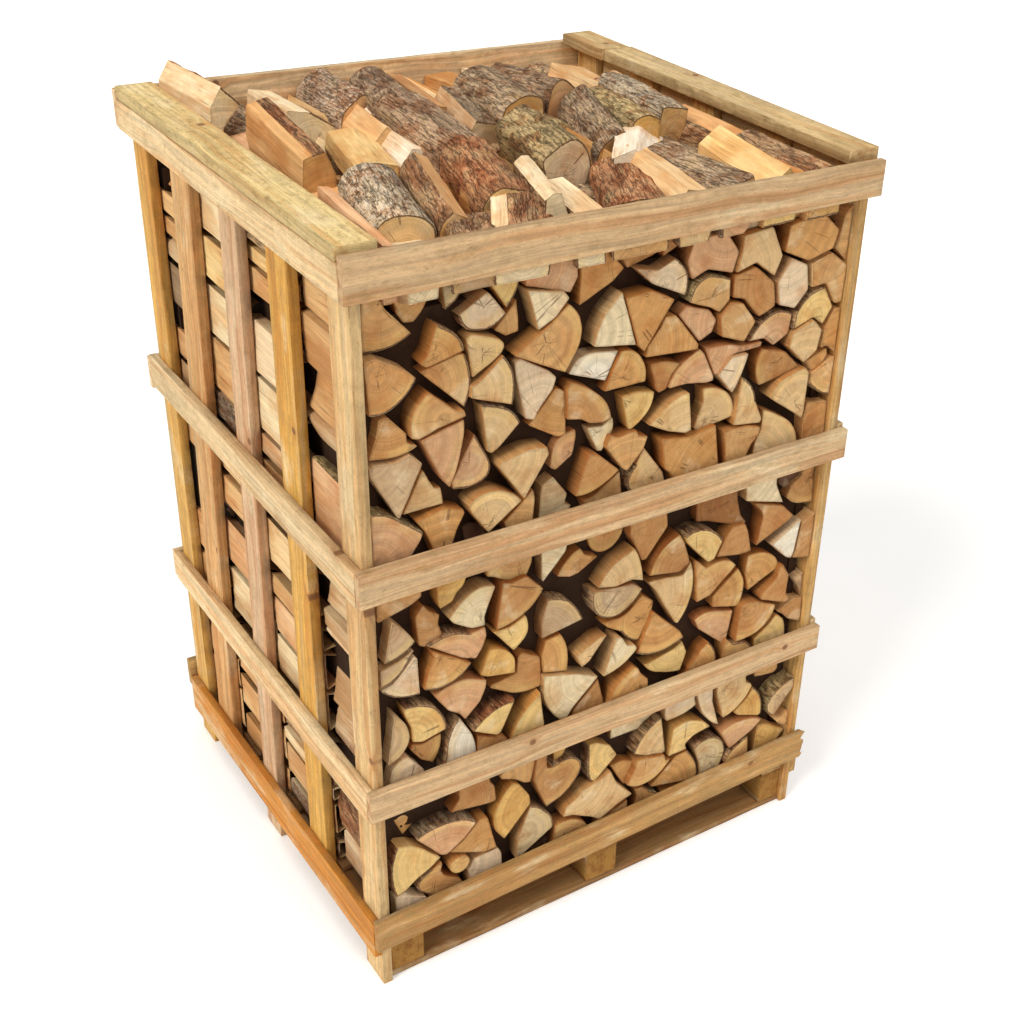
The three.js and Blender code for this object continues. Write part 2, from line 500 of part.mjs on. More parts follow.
const ends = ENDS.map(readEnd);
const EDGE_REACH = 500;
const onEdge = (outline) => outline.some(([x]) => Math.abs(x) > EDGE_REACH);
const rowFront = (row) => -STACK_Y + (row - 1) * ROW_DEEP;
const rowBack = (row) => rowFront(row) + ROW_DEEP - GAP;

// The last row shows the same ends, turned half round
const TURN_Z = STACK_LOW + STACK_TOP;
const turned = (outline) => outline.map(([x, z]) => [-x, TURN_Z - z]);

const topLog = ([, y0, long, dx, dz, outline]) => log(outline, y0, y0 + long, dx, dz);
const topRoom = ([, y0, long, dx, dz, outline]) => {
  const more = ROOM / long;
  const moved = grown(outline, ROOM).map(([x, z]) => [x - more * dx, z - more * dz]);
  return log(moved, y0 - ROOM, y0 + long + ROOM, (1 + 2 * more) * dx, (1 + 2 * more) * dz);
};

for (let row = 1; row <= ROW_COUNT; row++) {
  const y0 = rowFront(row);
  const y1 = rowBack(row);
  const logs = [];
  if (row === 1) {
    ends.forEach(({ setBack, outline }, i) => {
      const back = setBack + unevenness(i);
      const reach = onEdge(outline) ? y1 : y0 + END_REACH;
      logs.push(log(setBackOutline(outline, back), y0 + back, reach));
    });
  }
  if (row === ROW_COUNT) {
    ends.forEach(({ outline }, i) => {
      const edge = onEdge(outline);
      if (edge || area(outline) > BIG_END) {
        logs.push(log(thinned(turned(outline), COARSE), edge ? y0 : y1 - END_REACH, y1 - 2 * unevenness(i)));
      }
    });
  }
  if (row > 1 && row < ROW_COUNT) {
    for (const side of [-1, 1]) {
      for (const edge of EDGES[(row + side + 1) % EDGES.length]) {
        logs.push(log(edgeLog(edge, side), y0, y1));
      }
    }
  }
  const coreFront = row === 1 ? y0 + CORE_IN : y0 + 1;
  const coreBack = row === ROW_COUNT ? y1 - CORE_IN : y1 - 1;
  const core = box(CORE_SIDE - STACK_X, STACK_X - CORE_SIDE, coreFront, coreBack, STACK_LOW, CORE_TOP);
  let solid = Manifold.union([core, ...logs]).intersect(box(-STACK_X, STACK_X, y0, y1, STACK_LOW, STACK_TOP));
  const own = TOP_LOGS.filter(([home]) => home === row).map(topLog);
  const others = TOP_LOGS.filter(([home]) => home > row).map(topRoom);
  const over = box(-STACK_X, STACK_X, -STACK_Y, STACK_Y, STACK_TOP + 2 * GAP, 2 * HEIGHT);
  const within = box(-STACK_X, STACK_X, y0, y1, CORE_TOP - 1, 2 * HEIGHT);
  const tops = own.length ? Manifold.union(own).intersect(Manifold.union(over, within)) : null;
  solid = tops ? solid.add(tops) : solid;
  solid = others.length ? solid.subtract(Manifold.union(others)) : solid;
  addSolid(`log_row_${row}`, solid);
}

export default crate;
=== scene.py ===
"""Crate of firewood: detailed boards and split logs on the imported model's frame.

Outlines and places are in millimetres until Builder and MM turn them into metres."""
import json
import math
import random

import bpy
import numpy as np
from mathutils import Matrix, Vector
from mathutils.geometry import delaunay_2d_cdt


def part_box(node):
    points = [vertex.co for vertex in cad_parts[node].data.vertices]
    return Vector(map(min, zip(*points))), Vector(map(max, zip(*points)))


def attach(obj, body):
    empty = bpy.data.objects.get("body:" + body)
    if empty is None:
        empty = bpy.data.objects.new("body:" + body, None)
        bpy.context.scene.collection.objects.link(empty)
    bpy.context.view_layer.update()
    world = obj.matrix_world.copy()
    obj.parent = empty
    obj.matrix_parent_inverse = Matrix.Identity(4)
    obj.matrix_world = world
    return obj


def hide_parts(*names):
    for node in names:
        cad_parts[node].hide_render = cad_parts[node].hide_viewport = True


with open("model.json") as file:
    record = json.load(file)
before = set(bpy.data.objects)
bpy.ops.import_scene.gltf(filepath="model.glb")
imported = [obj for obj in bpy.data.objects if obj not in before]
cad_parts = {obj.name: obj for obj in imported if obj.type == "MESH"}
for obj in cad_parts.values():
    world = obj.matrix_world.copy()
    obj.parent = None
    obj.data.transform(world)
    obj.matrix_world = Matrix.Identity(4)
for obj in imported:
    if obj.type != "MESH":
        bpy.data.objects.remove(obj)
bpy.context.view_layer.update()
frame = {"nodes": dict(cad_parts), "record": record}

MM = 0.001
RNG = random.Random(20)
WHITE = (1.0, 1.0, 1.0)
scene = bpy.context.scene

# Camera: the pinhole camera that was fitted to the photograph
CAMERA_PLACE = (-1.492865, -2.535833, 2.505335)
CAMERA_RIGHT = (0.82139543, -0.56845404, 0.04657836)
CAMERA_UP = (0.26827405, 0.45712824, 0.84797571)
CAMERA_BACK = (-0.50332751, -0.68402761, 0.52798452)
camera_data = bpy.data.cameras.new("camera")
camera_data.sensor_width = 36.0
camera_data.lens = 52.545
camera_data.shift_x = -0.1055
camera_data.shift_y = 0.0273
camera = bpy.data.objects.new("camera", camera_data)
turn = Matrix((CAMERA_RIGHT, CAMERA_UP, CAMERA_BACK)).transposed().to_4x4()
camera.matrix_world = Matrix.Translation(CAMERA_PLACE) @ turn
scene.collection.objects.link(camera)
scene.camera = camera


# Light
def sun_light(name, towards, spread, power, color):
    data = bpy.data.lights.new(name, "SUN")
    data.angle = math.radians(spread)
    data.energy = power
    data.color = color
    lamp = bpy.data.objects.new(name, data)
    lamp.rotation_euler = Vector(towards).to_track_quat("-Z", "Y").to_euler()
    scene.collection.objects.link(lamp)


sun_light("key", (0.74, 0.18, -0.65), 26, 2.45, (1.0, 0.965, 0.91))
sun_light("front", (-0.05, 0.83, -0.56), 30, 0.85, (1.0, 0.97, 0.93))
sun_light("top", (-0.10, 0.12, -0.99), 50, 1.50, WHITE)

SKY_LIGHT = 0.22
FLOOR_GLOW = 0.14
world = bpy.data.worlds.new("studio")
scene.world = world
world.use_nodes = True
world_nodes, world_links = world.node_tree.nodes, world.node_tree.links
sky = world_nodes["Background"]
backdrop = world_nodes.new("ShaderNodeBackground")
for background, strength in ((sky, SKY_LIGHT), (backdrop, 1.0)):
    background.inputs["Color"].default_value = (*WHITE, 1.0)
    background.inputs["Strength"].default_value = strength
seen = world_nodes.new("ShaderNodeLightPath")
either = world_nodes.new("ShaderNodeMixShader")
world_links.new(seen.outputs["Is Camera Ray"], either.inputs[0])
world_links.new(sky.outputs[0], either.inputs[1])
world_links.new(backdrop.outputs[0], either.inputs[2])
world_links.new(either.outputs[0], world_nodes["World Output"].inputs["Surface"])
scene.view_settings.view_transform = "Standard"

# Materials
GLOSS = 0.25
DEEP_SHADE = 0.25  # light left on the logs' sides deep in the stack
SHADE_REACH = 0.055  # depth, in metres, at which only that is left
KNOT_STRETCH_LONG, KNOT_STRETCH_WIDE = 3.1, 11.0


def linear(code):
    parts = [int(code[i:i + 2], 16) / 255 for i in (0, 2, 4)]
    return tuple(p / 12.92 if p <= 0.04045 else ((p + 0.055) / 1.055) ** 2.4 for p in parts)


class Nodes:
    """Short names for the shader nodes used here. Values may be numbers, vectors or sockets."""

    def __init__(self, name):
        self.material = bpy.data.materials.new(name)
        self.material.use_nodes = True
        self.tree = self.material.node_tree
        self.shader = self.tree.nodes["Principled BSDF"]
        self.shader.inputs["Specular IOR Level"].default_value = GLOSS

    def node(self, kind, *values):
        """A new node of one kind, with values for its first inputs."""
        node = self.tree.nodes.new(f"ShaderNode{kind}")
        for socket, value in zip(node.inputs, values):
            self.feed(socket, value)
        return node

    def feed(self, socket, value):
        if isinstance(value, bpy.types.NodeSocket):
            self.tree.links.new(value, socket)
        else:
            socket.default_value = value

    def attribute(self, name):
        node = self.node("Attribute")
        node.attribute_name = name
        return node.outputs

    def math(self, operation, *values):
        node = self.node("Math", *values)
        node.operation = operation
        return node.outputs[0]

    def plus(self, a, b):
        return self.math("ADD", a, b)

    def minus(self, a, b):
        return self.math("SUBTRACT", a, b)

    def times(self, a, b):
        return self.math("MULTIPLY", a, b)

    def away(self, value, middle):
        return self.math("ABSOLUTE", self.minus(value, middle))

    def vector(self, operation, *values):
        node = self.node("VectorMath", *values)
        node.operation = operation
        return node.outputs["Value" if operation == "LENGTH" else "Vector"]

    def split(self, value):
        return self.node("SeparateXYZ", value).outputs

    def combine(self, x, y, z):
        return self.node("CombineXYZ", x, y, z).outputs[0]

    def length(self, x, y):
        return self.vector("LENGTH", self.combine(x, y, 0.0))

    def noise(self, place, scale, detail=2.0, rough=0.5, line=False):
        node = self.node("TexNoise")
        if line:
            node.noise_dimensions = "1D"
        self.feed(node.inputs["W" if line else "Vector"], place)
        for key, value in (("Scale", scale), ("Detail", detail), ("Roughness", rough), ("Distortion", 0.0)):
            node.inputs[key].default_value = value
        return node.outputs["Fac"]

    def streaks(self, x, x_scale, y, y_scale, z, detail, rough):
        """Noise with its own scale along x and along y."""
        place = self.combine(self.times(x, x_scale), self.times(y, y_scale), z)
        return self.noise(place, 1.0, detail, rough)

    def wobble(self, place, scale, detail, size):
        """Noise about nought."""
        return self.times(self.minus(self.noise(place, scale, detail), 0.5), size)

    def span(self, value, low, high, to_low=0.0, to_high=1.0):
        node = self.node("MapRange", value, low, high, to_low, to_high)
        node.interpolation_type = "SMOOTHSTEP"
        return node.outputs["Result"]

    def levels(self, *spans):
        """Product of several spans."""
        product = self.span(*spans[0])
        for item in spans[1:]:
            product = self.times(product, self.span(*item))
        return product

    def mix(self, amount, a, b, blend="MIX"):
        node = self.node("Mix")
        node.data_type = "RGBA"
        node.blend_type = blend
        self.feed(node.inputs["Factor"], amount)
        for index, value in ((6, a), (7, b)):
            self.feed(node.inputs[index], value if isinstance(value, bpy.types.NodeSocket) else (*value, 1.0))
        return node.outputs[2]

    def wash(self, base, value, low, high, amount, code, tint=False, share=None):
        """Another colour, or a tint of the base, where a value passes from low to high."""
        other = self.mix(1.0, base, linear(code), "MULTIPLY") if tint else linear(code)
        cover = self.span(value, low, high, 0.0, amount)
        return self.mix(cover if share is None else self.times(share, cover), base, other)

    def shade(self, color, amount):
        """Multiply a colour by a number."""
        node = self.node("VectorMath", color)
        node.operation = "SCALE"
        self.feed(node.inputs["Scale"], amount)
        return node.outputs["Vector"]

    def finish(self, color, roughness, height, depth):
        self.feed(self.shader.inputs["Base Color"], color)
        self.feed(self.shader.inputs["Roughness"], roughness)
        bump = self.node("Bump")
        bump.inputs["Strength"].default_value = 0.8
        bump.inputs["Distance"].default_value = depth
        self.feed(bump.inputs["Height"], height)
        self.feed(self.shader.inputs["Normal"], bump.outputs["Normal"])
        return self.material


def wood(name):
    """The nodes of a wood material, with the values that Builder stores on the meshes."""
    n = Nodes(name)
    tone = n.attribute("tone")
    place = n.attribute("grain")["Vector"]
    seed, edge = [n.attribute(key)["Fac"] for key in ("seed", "edge_gap")]
    return n, tone["Color"], tone["Alpha"], place, seed, edge


def end_grain_material():
    """Sawn log ends: rings and rays about the pith, paler sapwood, bark rim, drying checks."""
    n, tone, rimless, place, seed, edge = wood("end_grain")
    gap = n.attribute("bark_gap")["Fac"]
    shifted = n.vector("ADD", place, n.combine(seed, n.times(seed, 3.7), 0.0))
    x, y, _ = n.split(place)
    radius = n.plus(n.length(x, y), n.wobble(shifted, 22.0, 2.0, 0.012))
    ring_line = n.plus(radius, seed)
    rings = n.noise(ring_line, 330.0, 2.0, 0.6, line=True)
    wide_rings = n.noise(ring_line, 80.0, 1.0, 0.5, line=True)
    around = n.plus(n.math("ARCTAN2", y, x), n.times(seed, 9.0))
    rays = n.streaks(around, 60.0, radius, 30.0, seed, 3.0, 0.7)
    fuzz = n.noise(shifted, 900.0, 3.0, 0.7)
    slanted = n.vector("ADD", shifted, n.shade(n.combine(y, x, 0.0), 0.35))
    saw = n.noise(n.vector("MULTIPLY", slanted, (900.0, 60.0, 0.0)), 1.0)
    blotch = n.noise(shifted, 16.0, 3.0, 0.55)
    fine_blotch = n.noise(shifted, 60.0, 3.0, 0.6)
    sap = n.levels((gap, 0.010, 0.024, 1.0, 0.0), (n.noise(shifted, 30.0), 0.35, 0.6, 0.4, 1.0))
    base = n.mix(n.times(sap, 0.30), tone, linear("E6C478"))
    base = n.wash(base, blotch, 0.48, 0.72, 0.45, "D8A468", tint=True)
    base = n.wash(base, blotch, 0.44, 0.30, 0.35, "E7D2AC")
    level = n.levels(
        (rings, 0.30, 0.70, 0.90, 1.06), (wide_rings, 0.25, 0.75, 0.90, 1.08), (rays, 0.25, 0.75, 0.91, 1.07),
        (fuzz, 0.2, 0.8, 0.88, 1.10), (saw, 0.2, 0.8, 0.93, 1.06), (fine_blotch, 0.25, 0.8, 1.05, 0.90),
        (edge, 0.0, 0.0035, 0.72, 1.0))
    # drying checks along the rays
    off_line = n.away(n.noise(around, 1.9, 1.0, line=True), 0.56)
    reach = n.span(n.noise(n.combine(around, n.times(radius, 22.0), seed), 1.4, 1.0), 0.50, 0.60)
    check = n.times(n.span(n.times(off_line, radius), 0.0001, 0.0006, 1.0, 0.0), reach)
    color = n.mix(n.times(check, 0.6), n.shade(base, level), linear("5A3A1E"))
    rim_edge = n.plus(gap, n.wobble(shifted, 140.0, 2.0, 0.004))
    rim = n.times(n.span(rim_edge, 0.0022, 0.0032, 1.0, 0.0), n.minus(1.0, rimless))
    bark_color = n.mix(n.noise(shifted, 300.0, 3.0, 0.7), linear("4B3524"), linear("8A6A4A"))
    height = n.math("MULTIPLY_ADD", rings, 0.35, n.math("MULTIPLY_ADD", fuzz, 0.8, n.times(saw, 0.7)))
    height = n.minus(height, n.times(check, 2.0))
    return n.finish(n.mix(rim, color, bark_color), n.span(fuzz, 0.0, 1.0, 0.70, 0.92), height, 0.0011)


def split_side_material():
    """Split faces: torn fibres along the log, pale slivers and darker streaks."""
    n, tone, _, place, seed, sunk = wood("split_side")
    s, y, _ = n.split(place)
    across = n.plus(s, n.wobble(n.combine(s, y, seed), 9.0, 2.0, 0.012))

    def lane(wide, long, seeds, detail, rough):
        return n.streaks(across, wide, y, long, n.times(seed, seeds), detail, rough)

    fibre = lane(620.0, 9.0, 40.0, 4.0, 0.65)
    streak = lane(110.0, 4.0, 17.0, 3.0, 0.6)
    sliver = lane(210.0, 14.0, 71.0, 2.0, 0.5)
    blotch = lane(14.0, 7.0, 1.0, 3.0, 0.6)
    base = n.wash(tone, blotch, 0.40, 0.62, 0.55, "DDB07A", tint=True)
    base = n.shade(base, n.span(streak, 0.50, 0.30, 1.0, 1.22))
    base = n.wash(base, streak, 0.60, 0.74, 0.55, "C98E58", tint=True)
    # the last span is painted shade: split sides are darker the deeper they lie in the stack
    level = n.levels((fibre, 0.25, 0.75, 0.78, 1.12), (sliver, 0.62, 0.72, 1.0, 0.72),
                     (sliver, 0.36, 0.28, 1.0, 1.12), (sunk, 0.0, SHADE_REACH, 1.0, DEEP_SHADE))
    height = n.plus(n.times(fibre, 0.7), sliver)
    return n.finish(n.shade(base, level), n.span(fibre, 0.0, 1.0, 0.62, 0.85), height, 0.0016)


def bark_material():
    """Bark: ridges and furrows along the log, scaly, with worn, mottled and pale patches."""
    n, tone, mottle, place, seed, sunk = wood("bark")
    s, y, _ = n.split(place)
    warp = n.wobble(n.combine(s, y, seed), 22.0, 3.0, 0.011)
    across, down = n.plus(s, warp), n.plus(y, n.times(warp, 1.5))
    shift = n.times(seed, 13.0)

    def lane(wide, long, off, detail, rough):
        return n.streaks(across, wide, down, long, n.plus(shift, off), detail, rough)

    furrow = n.span(n.away(lane(110.0, 11.0, 1.0, 3.0, 0.6), 0.5), 0.0, 0.05, 1.0, 0.0)
    crack = n.span(n.away(lane(45.0, 50.0, 5.0, 3.0, 0.6), 0.5), 0.0, 0.014, 0.8, 0.0)
    rough = lane(300.0, 60.0, 9.0, 4.0, 0.7)
    grit = lane(900.0, 600.0, 3.0, 2.0, 0.6)
    patch = lane(26.0, 15.0, 2.0, 4.0, 0.62)
    bare = lane(30.0, 8.0, 7.0, 3.0, 0.55)
    speck = lane(120.0, 85.0, 4.0, 4.0, 0.68)
    broad = lane(16.0, 6.0, 6.0, 2.0, 0.5)
    base = n.wash(tone, patch, 0.46, 0.60, 0.75, "B98A62", tint=True)
    base = n.wash(base, patch, 0.46, 0.34, 0.65, "B4966C")
    # paler where the bark stands high: partly the bark's own paler ridges, partly a painted highlight
    base = n.wash(base, rough, 0.56, 0.72, 0.40, "D0B080")
    base = n.wash(base, speck, 0.50, 0.58, 0.75, "CDBFA9", share=mottle)
    base = n.wash(base, speck, 0.44, 0.37, 0.8, "3A2C22", share=mottle)
    base = n.wash(base, bare, 0.64, 0.68, 0.75, "B58C5E")
    # painted highlight and shade: brighter where the bark stands high, darker in its furrows and cracks and deep in the
    # stack
    level = n.levels((rough, 0.2, 0.8, 0.58, 1.42), (grit, 0.2, 0.8, 0.86, 1.12),
                     (broad, 0.35, 0.65, 0.78, 1.22), (sunk, 0.0, SHADE_REACH, 1.0, DEEP_SHADE))
    for groove, loss in ((furrow, 0.62), (crack, 0.5)):
        level = n.times(level, n.minus(1.0, n.times(groove, loss)))
    height = n.math("MULTIPLY_ADD", rough, 0.8, n.math("MULTIPLY_ADD", furrow, -1.0, n.times(crack, -0.7)))
    return n.finish(n.shade(base, level), n.span(rough, 0.0, 1.0, 0.75, 0.97), height, 0.0030)


def board_material():
    """Rough-sawn softwood: long grain, soft cathedral figure, knots, saw marks, stains."""
    n, tone, wear, place, seed, edge = wood("sawn_board")
    a, b, c = n.split(place)
    cell = n.combine(n.times(a, KNOT_STRETCH_LONG), n.times(b, KNOT_STRETCH_WIDE), n.times(seed, 31.0))
    knots = n.node("TexVoronoi")
    knots.inputs["Scale"].default_value = 1.0
    n.feed(knots.inputs["Vector"], cell)
    kx, ky, _ = n.split(n.vector("SUBTRACT", cell, knots.outputs["Position"]))
    off = n.length(n.math("DIVIDE", kx, KNOT_STRETCH_LONG), n.math("DIVIDE", ky, KNOT_STRETCH_WIDE))
    has_knot = n.span(n.split(knots.outputs["Color"])[0], 0.80, 0.82)
    knot = n.times(n.span(off, 0.005, 0.0105, 1.0, 0.0), has_knot)
    swirl = n.times(n.span(off, 0.0, 0.040, 1.0, 0.0), has_knot)
    bend = n.wobble(n.combine(a, n.times(b, 4.0), seed), 3.0, 2.0, 0.045)
    both = n.plus(b, c)
    across = n.plus(both, n.plus(bend, n.times(swirl, 0.010)))

    def lane(long, y, wide, seeds, detail, rough):
        return n.streaks(a, long, y, wide, n.times(seed, seeds), detail, rough)

    grain = lane(3.0, across, 150.0, 13.0, 4.0, 0.65)
    figure = lane(1.6, across, 42.0, 7.0, 2.0, 0.5)
    fuzz = lane(130.0, across, 800.0, 1.0, 3.0, 0.7)
    saw = n.streaks(n.plus(a, n.times(b, 0.12)), 260.0, b, 5.0, seed, 2.0, 0.6)
    stain = lane(5.0, b, 16.0, 3.0, 4.0, 0.6)
    blotch = lane(24.0, b, 50.0, 11.0, 3.0, 0.6)
    mottle = lane(34.0, both, 60.0, 19.0, 5.0, 0.70)
    fleck = lane(75.0, across, 330.0, 23.0, 2.0, 0.5)
    base = n.wash(tone, figure, 0.46, 0.66, 0.50, "D9A76E", tint=True)
    base = n.wash(base, stain, 0.46, 0.30, 0.50, "E9D6AC")
    base = n.wash(base, mottle, 0.52, 0.66, 0.6, "AB9056", share=wear)
    base = n.wash(base, stain, 0.48, 0.68, 0.6, "9C8154", share=wear)
    base = n.wash(base, blotch, 0.56, 0.74, 0.40, "AD8550")
    base = n.wash(base, fleck, 0.66, 0.74, 0.60, "7A5630")
    base = n.wash(base, figure, 0.42, 0.30, 0.40, "BBA583")
    level = n.levels((grain, 0.28, 0.72, 0.72, 1.12), (fuzz, 0.2, 0.8, 0.82, 1.12),
                     (mottle, 0.3, 0.7, 1.05, 0.90), (saw, 0.3, 0.7, 0.98, 1.01),
                     (edge, 0.0, 0.0025, 0.80, 1.0))
    color = n.shade(base, level)
    ring = n.span(n.math("SINE", n.times(off, 2600.0)), -1.0, 1.0, 0.75, 1.0)
    color = n.mix(n.times(knot, 0.85), color, n.shade(n.combine(0.22, 0.10, 0.04), ring))
    color = n.mix(n.times(swirl, 0.25), color, n.mix(1.0, color, linear("C98E50"), "MULTIPLY"))
    height = n.plus(n.times(grain, 0.5), n.plus(fuzz, n.times(saw, 0.3)))
    return n.finish(color, n.span(grain, 0.0, 1.0, 0.66, 0.90), height, 0.0010)


def board_end_material():
    """Cross-cut ends of the boards and blocks: flat arcs of rings, darker and fibrous."""
    n, tone, _, place, seed, _ = wood("board_end")
    _, b, c = n.split(place)
    middle = n.minus(n.times(n.noise(seed, 7.0, line=True), 0.10), 0.05)
    radius = n.length(n.minus(b, middle), n.plus(c, 0.045))
    rings = n.noise(n.plus(radius, seed), 420.0, 2.0, 0.6, line=True)
    spot = n.combine(b, c, seed)
    fuzz = n.noise(spot, 1100.0, 3.0, 0.7)
    base = n.wash(tone, n.noise(spot, 40.0, 3.0, 0.6), 0.40, 0.70, 0.6, "C08C58", tint=True)
    level = n.levels((rings, 0.3, 0.7, 0.72, 1.08), (fuzz, 0.2, 0.8, 0.80, 1.12))
    return n.finish(n.shade(base, level), 0.85, n.plus(rings, fuzz), 0.0010)


def plain_material(name, low, high, scale, roughness, metallic=0.0, depth=0.0005):
    n = Nodes(name)
    speck = n.noise(n.node("TexCoord").outputs["Object"], scale, 3.0, 0.6)
    n.shader.inputs["Metallic"].default_value = metallic
    return n.finish(n.mix(speck, linear(low), linear(high)), roughness, speck, depth)


END = end_grain_material()
SPLIT = split_side_material()
BARK = bark_material()
SAWN = board_material()
SAWN_END = board_end_material()
# painted shade: the dark core stands for the unlit wood deep in the stack and at its ends
DARK = plain_material("shaded_core", "241408", "3A2412", 60.0, 0.95)
NAIL = plain_material("nail_head", "4A4038", "8A7A68", 500.0, 0.5, 0.7, 0.0003)
FLOOR = plain_material("pale_floor", "F4F4F3", "FBFBFA", 3.0, 0.9)
floor_shader = FLOOR.node_tree.nodes["Principled BSDF"]  # a light table: it keeps the shadows pale
floor_shader.inputs["Emission Color"].default_value = (*WHITE, 1.0)
floor_shader.inputs["Emission Strength"].default_value = FLOOR_GLOW

# Small numeric tools
FAR = 60.0  # gap to an edge where there is none
WORD = 0xFFFFFFFF


def lattice(ix, iy, seed):
    """A fixed pseudo-random number from -1 to 1 for each lattice point."""
    mixed = (ix * 374761393 + iy * 668265263 + seed * 1442695041) & WORD
    mixed = ((mixed ^ (mixed >> 13)) * 1274126177) & WORD
    return ((mixed ^ (mixed >> 16)) & 0xFFFF) / 32767.5 - 1.0


def value_noise(x, y, seed):
    """Smooth noise from -1 to 1 on arrays."""
    x, y = np.broadcast_arrays(np.asarray(x, float), np.asarray(y, float))
    ix, iy = np.floor(x).astype(np.int64), np.floor(y).astype(np.int64)
    fx, fy = x - ix, y - iy
    fx, fy = fx * fx * (3 - 2 * fx), fy * fy * (3 - 2 * fy)
    low = lattice(ix, iy, seed) * (1 - fx) + lattice(ix + 1, iy, seed) * fx
    high = lattice(ix, iy + 1, seed) * (1 - fx) + lattice(ix + 1, iy + 1, seed) * fx
    return low * (1 - fy) + high * fy


def rough_noise(x, y, seed, octaves=3):
    total, size = 0.0, 1.0
    for i in range(octaves):
        total = total + value_noise(x * 2 ** i, y * 2 ** i, seed + i) * size
        size *= 0.5
    return total / (2 - 2 ** (1 - octaves))


def signed_area(points):
    x, y = points[:, 0], points[:, 1]
    return 0.5 * float(np.sum(x * np.roll(y, -1) - np.roll(x, -1) * y))


def distance_to_segments(points, starts, stops):
    """Least distance of each point to any of the segments."""
    if len(starts) == 0:
        return np.full(len(points), FAR)
    run = stops - starts
    size = np.maximum((run ** 2).sum(1), 1e-9)
    away = points[:, None, :] - starts[None]
    along = np.clip((away * run[None]).sum(2) / size[None], 0, 1)
    near = away - along[..., None] * run[None]
    return np.sqrt((near ** 2).sum(2)).min(1)


def inside(points, outline):
    """Even-odd test of points against a closed outline."""
    x, y = points[:, 0][:, None], points[:, 1][:, None]
    x0, y0 = outline[:, 0][None], outline[:, 1][None]
    x1, y1 = np.roll(outline[:, 0], -1)[None], np.roll(outline[:, 1], -1)[None]
    crosses = (y0 > y) != (y1 > y)
    at = x0 + (y - y0) * (x1 - x0) / np.where(y1 == y0, 1e-9, y1 - y0)
    return (crosses & (x < at)).sum(1) % 2 == 1


# Mesh gathering
ATTRIBUTES = {
    "tone": ("FLOAT_COLOR", "color"), "grain": ("FLOAT_VECTOR", "vector"), "seed": ("FLOAT", "value"),
    "bark_gap": ("FLOAT", "value"), "edge_gap": ("FLOAT", "value"),
}


class Builder:
    """Gathers patches with their shader attributes and makes one object of them."""

    def __init__(self, materials):
        self.materials = materials
        self.points, self.faces, self.slots = [], [], []
        self.values = {key: [] for key in ATTRIBUTES}
        self.count = 0

    def add_points(self, points):
        """Returns the index of the first of the new points."""
        start = self.count
        self.points.append(np.asarray(points, float).reshape(-1, 3) * MM)
        self.count += len(self.points[-1])
        return start

    def add_faces(self, faces, slot, tone, grain, seed, bark_gap=FAR, edge_gap=FAR):
        """faces: (n, k) indices; grain: (n, k, 3) in mm; gaps: number or (n, k) in mm."""
        self.faces.append(faces)
        self.slots.append(np.full(len(faces), slot))
        self.values["tone"].append(np.broadcast_to(np.asarray(tone, float), (faces.size, 4)))
        self.values["grain"].append(grain.reshape(-1, 3) * MM)
        self.values["seed"].append(np.full(faces.size, seed))
        for key, gap in (("bark_gap", bark_gap), ("edge_gap", edge_gap)):
            self.values[key].append(np.broadcast_to(np.asarray(gap, float) * MM, faces.shape).reshape(-1))

    def build(self, name, slot, replaced, sharp=38.0):
        mesh = bpy.data.meshes.new(name)
        points = np.concatenate(self.points)
        sizes = np.concatenate([np.full(len(f), f.shape[1]) for f in self.faces])
        corners = np.concatenate([f.reshape(-1) for f in self.faces])
        starts = np.concatenate([[0], np.cumsum(sizes)[:-1]])
        mesh.vertices.add(len(points))
        mesh.vertices.foreach_set("co", points.reshape(-1).astype(np.float32))
        mesh.loops.add(len(corners))
        mesh.loops.foreach_set("vertex_index", corners.astype(np.int32))
        mesh.polygons.add(len(sizes))
        mesh.polygons.foreach_set("loop_start", starts.astype(np.int32))
        mesh.polygons.foreach_set("material_index", np.concatenate(self.slots).astype(np.int32))
        mesh.polygons.foreach_set("use_smooth", np.ones(len(sizes), dtype=bool))
        for material in self.materials:
            mesh.materials.append(material)
        for key, (kind, field) in ATTRIBUTES.items():
            layer = mesh.attributes.new(key, kind, "CORNER")
            values = np.concatenate(self.values[key]).astype(np.float32)
            layer.data.foreach_set(field, values.reshape(-1))
        mesh.update()
        mesh.validate()
        mesh.set_sharp_from_angle(angle=math.radians(sharp))
        piece = bpy.data.objects.new(name, mesh)
        scene.collection.objects.link(piece)
        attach(piece, "root")
        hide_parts(*replaced)


# Log colours: wood tones by letter, and bark tones with how mottled the bark is
TONES = {
    "a": "E6D0A6", "b": "E0BC7A", "c": "D2A35C", "d": "CE9F66", "e": "D0A074", "f": "DFC4A0", "g": "B98650",
    "h": "CB975A", "i": "A06C3C", "j": "BF9F78", "k": "6A4A34", "l": "EDE1C8", "n": "D9B581", "o": "C28E56",
    "q": "CDB388",
}
BARKS = {
    "B": ("A8835C", 0.10), "R": ("A8764E", 0.05), "G": ("A38C5E", 0.1), "P": ("AA8C6C", 0.10),
    "W": ("C2AB88", 0.9), "D": ("9E8464", 0.25), "M": ("B39474", 0.6),
}
PALE_SIDE = "E6CC9C"
# painted shade: log ends in the faces of the stack, away from its sides, are made a little darker
END_SHADE = 0.92
TOP_PAINTED_LIGHT = (1.12, 1.12, 1.18)  # painted light: the sides and bark of the logs on the top are made paler, as if more brightly lit
PAINTED_GAP_SHADE = (0.72, 0.58, 0.44)  # painted shade: split sides seen between the ends lie in the stack's shadow and are made darker and browner


def log_tone(letter, pale=0.0):
    color = np.array(linear(TONES[letter])) * (1 - pale) + np.array(linear(PALE_SIDE)) * pale
    return np.array([*(color * (1 + RNG.uniform(-0.05, 0.05))), 0.0])


def bark_tone(letter):
    code, mottle = BARKS[letter]
    return np.array([*(np.array(linear(code)) * (1 + RNG.uniform(-0.12, 0.12))), mottle])


